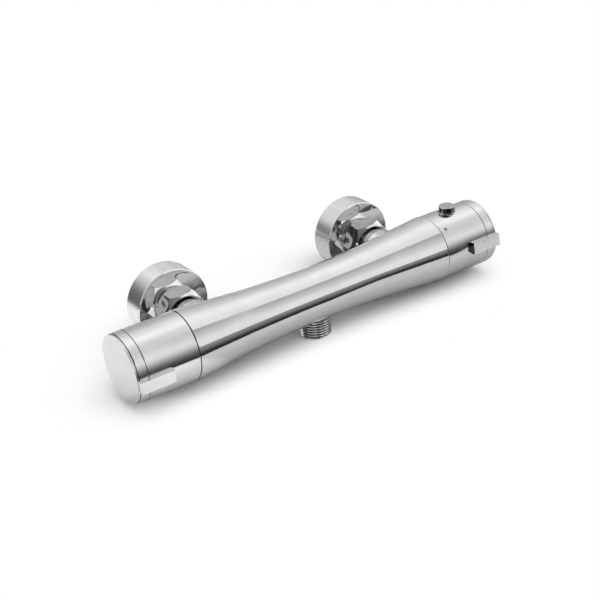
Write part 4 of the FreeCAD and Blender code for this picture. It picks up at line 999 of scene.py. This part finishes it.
CARD_FRONT = -80 * MM           # the dark cards in front, from the bar's axis
BODY_CARD = [(-67, -24, 14), (40, -24, 14), (72, -14, 15), (133, -14, 15)]
BODY_CARD_TONES = [(0.0, 0.03), (0.28, 0.03), (0.43, 0.09), (0.56, 0.16), (0.72, 0.24), (1.0, 0.32)]
LEFT_CARD = [(-600, -24, 51), (-67, -24, 51)]
RIGHT_CARD = [(133, -21, 51), (150, -21, 51), (158, -13, 51), (900, -13, 51)]
HANDLE_CARD_TONES = [(0.0, 0.04), (0.15, 0.05), (0.25, 0.1), (0.35, 0.17), (0.41, 0.25), (0.5, 0.38),
                     (0.57, 0.5), (0.68, 0.69), (0.82, 0.87), (1.0, 0.92)]
BACK_CARD_Y = 200 * MM
BACK_CARD = [(-700, -28, 70), (-85, -28, 70), (-75, -28, -10), (115, -28, -10), (130, -28, 45), (165, -28, 45),
             (180, -28, 6), (700, -28, 6)]
BACK_CARD_TONES = [(0.0, 0.04), (1.0, 0.06)]


def tone_ramp(tree, value, tones):
    """Grey ramp through (place, brightness) pairs."""
    ramp = tree.nodes.new("ShaderNodeValToRGB")
    stops = ramp.color_ramp.elements
    stops.remove(stops[-1])
    stops[0].position = tones[0][0]
    stops[0].color = (tones[0][1], tones[0][1], tones[0][1], 1)
    for place, level in tones[1:]:
        stop = stops.new(place)
        stop.color = (level, level, level, 1)
    tree.links.new(value, ramp.inputs["Fac"])
    return ramp.outputs["Color"]


def studio_world():
    """White for the camera, a soft dome for matt surfaces and long soft lights for polished metal."""
    world = bpy.data.worlds.new("studio")
    bpy.context.scene.world = world
    world.use_nodes = True
    world.cycles.sampling_method = "NONE"
    tree = world.node_tree
    background = tree.nodes["Background"]
    spot = tree.nodes.new("ShaderNodeTexCoord").outputs["Generated"]
    parts = tree.nodes.new("ShaderNodeSeparateXYZ")
    tree.links.new(spot, parts.inputs["Vector"])
    along, high = parts.outputs["X"], parts.outputs["Z"]
    forward = arithmetic(tree, "MULTIPLY", parts.outputs["Y"], -1.0)
    angle = arithmetic(tree, "ARCTAN2", high, forward)
    share = remap(tree, angle, -math.pi, math.pi, 0.0, 1.0)

    def light(tones):
        return tone_ramp(tree, share, [((degrees + 180) / 360, level) for degrees, level in tones])

    low, top = BODY_VIEW
    above = remap(tree, along, low - BODY_VIEW_SOFT, low + BODY_VIEW_SOFT, 0.0, 1.0)
    below = remap(tree, along, top - BODY_VIEW_SOFT, top + BODY_VIEW_SOFT, 1.0, 0.0)
    polished = mixed(tree, arithmetic(tree, "MULTIPLY", above, below), light(HANDLE_LIGHT), light(BODY_LIGHT))
    aside = remap(tree, along, *SIDE_VIEW, 1.0, 0.0)
    polished = mixed(tree, aside, polished, light(SIDE_LIGHT))
    facing = tree.nodes.new("ShaderNodeVectorMath")
    facing.operation = "DOT_PRODUCT"
    facing.inputs[1].default_value = (0, -math.sin(DOME_LEAN), math.cos(DOME_LEAN))
    tree.links.new(spot, facing.inputs[0])
    lift = arithmetic(tree, "MAXIMUM", facing.outputs["Value"], 0.0)
    dome = arithmetic(tree, "MULTIPLY_ADD", arithmetic(tree, "POWER", lift, DOME_POWER), DOME_TOP, DOME_FOOT)
    path = tree.nodes.new("ShaderNodeLightPath")
    seen = mixed(tree, path.outputs["Is Glossy Ray"], dome, polished)
    plain = arithmetic(tree, "MAXIMUM", path.outputs["Is Camera Ray"], path.outputs["Is Transmission Ray"])
    seen = mixed(tree, plain, seen, WHITE)
    tree.links.new(seen, background.inputs["Color"])


def stage_mesh(name, bm, material):
    """Object of the studio, which isn't part of the valve."""
    obj = mesh_object(name, bm, [material])
    return obj


FLOOR_HALF = 3.0
# Polished metal alone sees the floor darker, more so right of the left handle and under the bar: painted shade in
# what it mirrors.
MIRRORED_FLOOR = (0.95, 0.68)   # how bright polished metal sees the floor, under the left handle and the rest
MIRRORED_CHANGE = (-75 * MM, -65 * MM)
FLOOR_SPAN = 100 * MM
UNDER_BAR_SHADE = [(-60, 0.97), (-32, 0.74), (-18, 0.65), (8, 0.65), (16, 1.0)]    # (mm behind the bar, share of it)
FADE_REACH = (200 * MM, 105 * MM)   # half sizes of the oval past which the camera sees plain white
FADE_SHIFT = (8 * MM, 32 * MM)  # its centre, to the right of the middle and behind the bar
FADE = (0.45, 1.0)              # squared share of the oval at which the fade starts and ends


def floor():
    """White paper under the valve, which fades to plain white away from it. Polished metal alone sees it darker,
    with painted shade under the bar.
    """
    bm = bmesh.new()
    bmesh.ops.create_grid(bm, x_segments=1, y_segments=1, size=FLOOR_HALF)
    bmesh.ops.translate(bm, vec=Vector((0, 0, cad_box[0][2])), verts=bm.verts)
    material = bpy.data.materials.new("white_paper")
    material.use_nodes = True
    tree = material.node_tree
    shader = tree.nodes["Principled BSDF"]
    shader.inputs["Roughness"].default_value = 1.0
    shader.inputs["Specular IOR Level"].default_value = 0.0
    parts = tree.nodes.new("ShaderNodeSeparateXYZ")
    tree.links.new(object_place(tree), parts.inputs["Vector"])
    path = tree.nodes.new("ShaderNodeLightPath")
    # Painted shade that only polished metal sees on the floor, darker under the bar.
    level = remap(tree, parts.outputs["X"], *MIRRORED_CHANGE, *MIRRORED_FLOOR)
    behind = arithmetic(tree, "SUBTRACT", parts.outputs["Y"], BAR_AXIS.y)
    under = tone_ramp(tree, remap(tree, behind, -FLOOR_SPAN, FLOOR_SPAN, 0.0, 1.0),
                      [((y * MM + FLOOR_SPAN) / FLOOR_SPAN / 2, tone) for y, tone in UNDER_BAR_SHADE])
    level = arithmetic(tree, "MULTIPLY", level, under)
    tree.links.new(mixed(tree, path.outputs["Is Glossy Ray"], WHITE, level), shader.inputs["Base Color"])
    squares = []
    for direction, centre, half in zip("XY", (FADE_SHIFT[0], BAR_AXIS.y + FADE_SHIFT[1]), FADE_REACH):
        share = arithmetic(tree, "DIVIDE", arithmetic(tree, "SUBTRACT", parts.outputs[direction], centre), half)
        squares.append(arithmetic(tree, "MULTIPLY", share, share))
    reach = arithmetic(tree, "ADD", *squares)
    faded = arithmetic(tree, "MULTIPLY", remap(tree, reach, *FADE, 0.0, 1.0), path.outputs["Is Camera Ray"])
    glow = tree.nodes.new("ShaderNodeEmission")
    blend = tree.nodes.new("ShaderNodeMixShader")
    tree.links.new(faded, blend.inputs["Fac"])
    tree.links.new(shader.outputs["BSDF"], blend.inputs[1])
    tree.links.new(glow.outputs["Emission"], blend.inputs[2])
    tree.links.new(blend.outputs["Shader"], tree.nodes["Material Output"].inputs["Surface"])
    stage_mesh("floor", bm, material)


def dark_card(name, y, outline, tones):
    """Card that only polished surfaces see, through (x, low, high) posts, toned from its foot to its top."""
    bm = bmesh.new()
    layer = bm.loops.layers.uv.new("UVMap")
    posts = [[bm.verts.new((x * MM, y, BAR_AXIS.z + z * MM)) for z in (low, high)] for x, low, high in outline]
    for first, second in zip(posts, posts[1:]):
        face = bm.faces.new((first[0], second[0], second[1], first[1]))
        for loop, place in zip(face.loops, ((0, 0), (1, 0), (1, 1), (0, 1))):
            loop[layer].uv = place
    material = bpy.data.materials.new(name)
    material.use_nodes = True
    tree = material.node_tree
    tree.nodes.remove(tree.nodes["Principled BSDF"])
    parts = tree.nodes.new("ShaderNodeSeparateXYZ")
    tree.links.new(tree.nodes.new("ShaderNodeTexCoord").outputs["UV"], parts.inputs["Vector"])
    glow = tree.nodes.new("ShaderNodeEmission")
    tree.links.new(tone_ramp(tree, parts.outputs["Y"], tones), glow.inputs["Color"])
    tree.links.new(glow.outputs["Emission"], tree.nodes["Material Output"].inputs["Surface"])
    obj = stage_mesh(name, bm, material)
    obj.visible_camera = False
    obj.visible_diffuse = False
    obj.visible_shadow = False
    obj.visible_transmission = False


CAMERA_TARGET = BAR_AXIS + Vector((-10.2, -0.85, 0)) * MM
CAMERA_DISTANCE = 787 * MM
CAMERA_AZIMUTH = math.radians(-32.0)
CAMERA_ELEVATION = math.radians(27.2)
CAMERA_ROLL = math.radians(-5.6)
CAMERA_PIXELS = 1221.0          # focal length in pixels of the 600 pixel frame
PHOTO_WIDTH = 600.0
SENSOR = 36.0
CLIP = (0.01, 50)


def camera():
    """Camera at the photograph's viewing angle."""
    back = Vector((math.sin(CAMERA_AZIMUTH) * math.cos(CAMERA_ELEVATION),
                   -math.cos(CAMERA_AZIMUTH) * math.cos(CAMERA_ELEVATION), math.sin(CAMERA_ELEVATION)))
    level = Vector((math.cos(CAMERA_AZIMUTH), math.sin(CAMERA_AZIMUTH), 0))
    upright = back.cross(level)
    right = level * math.cos(CAMERA_ROLL) + upright * math.sin(CAMERA_ROLL)
    up = upright * math.cos(CAMERA_ROLL) - level * math.sin(CAMERA_ROLL)
    data = bpy.data.cameras.new("photo_camera")
    data.sensor_width = SENSOR
    data.lens = CAMERA_PIXELS / PHOTO_WIDTH * SENSOR
    data.clip_start, data.clip_end = CLIP
    obj = bpy.data.objects.new("photo_camera", data)
    bpy.context.scene.collection.objects.link(obj)
    turn = Matrix((right, up, back)).transposed().to_4x4()
    obj.matrix_world = Matrix.Translation(CAMERA_TARGET + back * CAMERA_DISTANCE) @ turn
    bpy.context.scene.camera = obj


# ---- the scene

camera()
studio_world()
floor()
front = BAR_AXIS.y + CARD_FRONT
dark_card("body_card", front, BODY_CARD, BODY_CARD_TONES)
dark_card("left_card", front, LEFT_CARD, HANDLE_CARD_TONES)
dark_card("right_card", front, RIGHT_CARD, HANDLE_CARD_TONES)
dark_card("back_card", BAR_AXIS.y + BACK_CARD_Y, BACK_CARD, BACK_CARD_TONES)
finish_solids()
body()
for make in (handle_sleeve, end_ring, end_disc, lever):
    for side, use in ((LEFT, "flow"), (RIGHT, "temperature")):
        make(side, use)
marks()
button()
outlet()
for side, water in ((LEFT, "hot"), (RIGHT, "cold")):
    for make in (tailpiece, union_nut, eccentric_union, wall_flange):
        make(side, water)
    spring(water + "_check_spring", water + "_check_coil", "valve_body")
spring("button_spring", "button_coil", "temperature_handle")
spring("return_spring", "return_coil", "valve_body")

bpy.context.scene.view_settings.view_transform = "Standard"
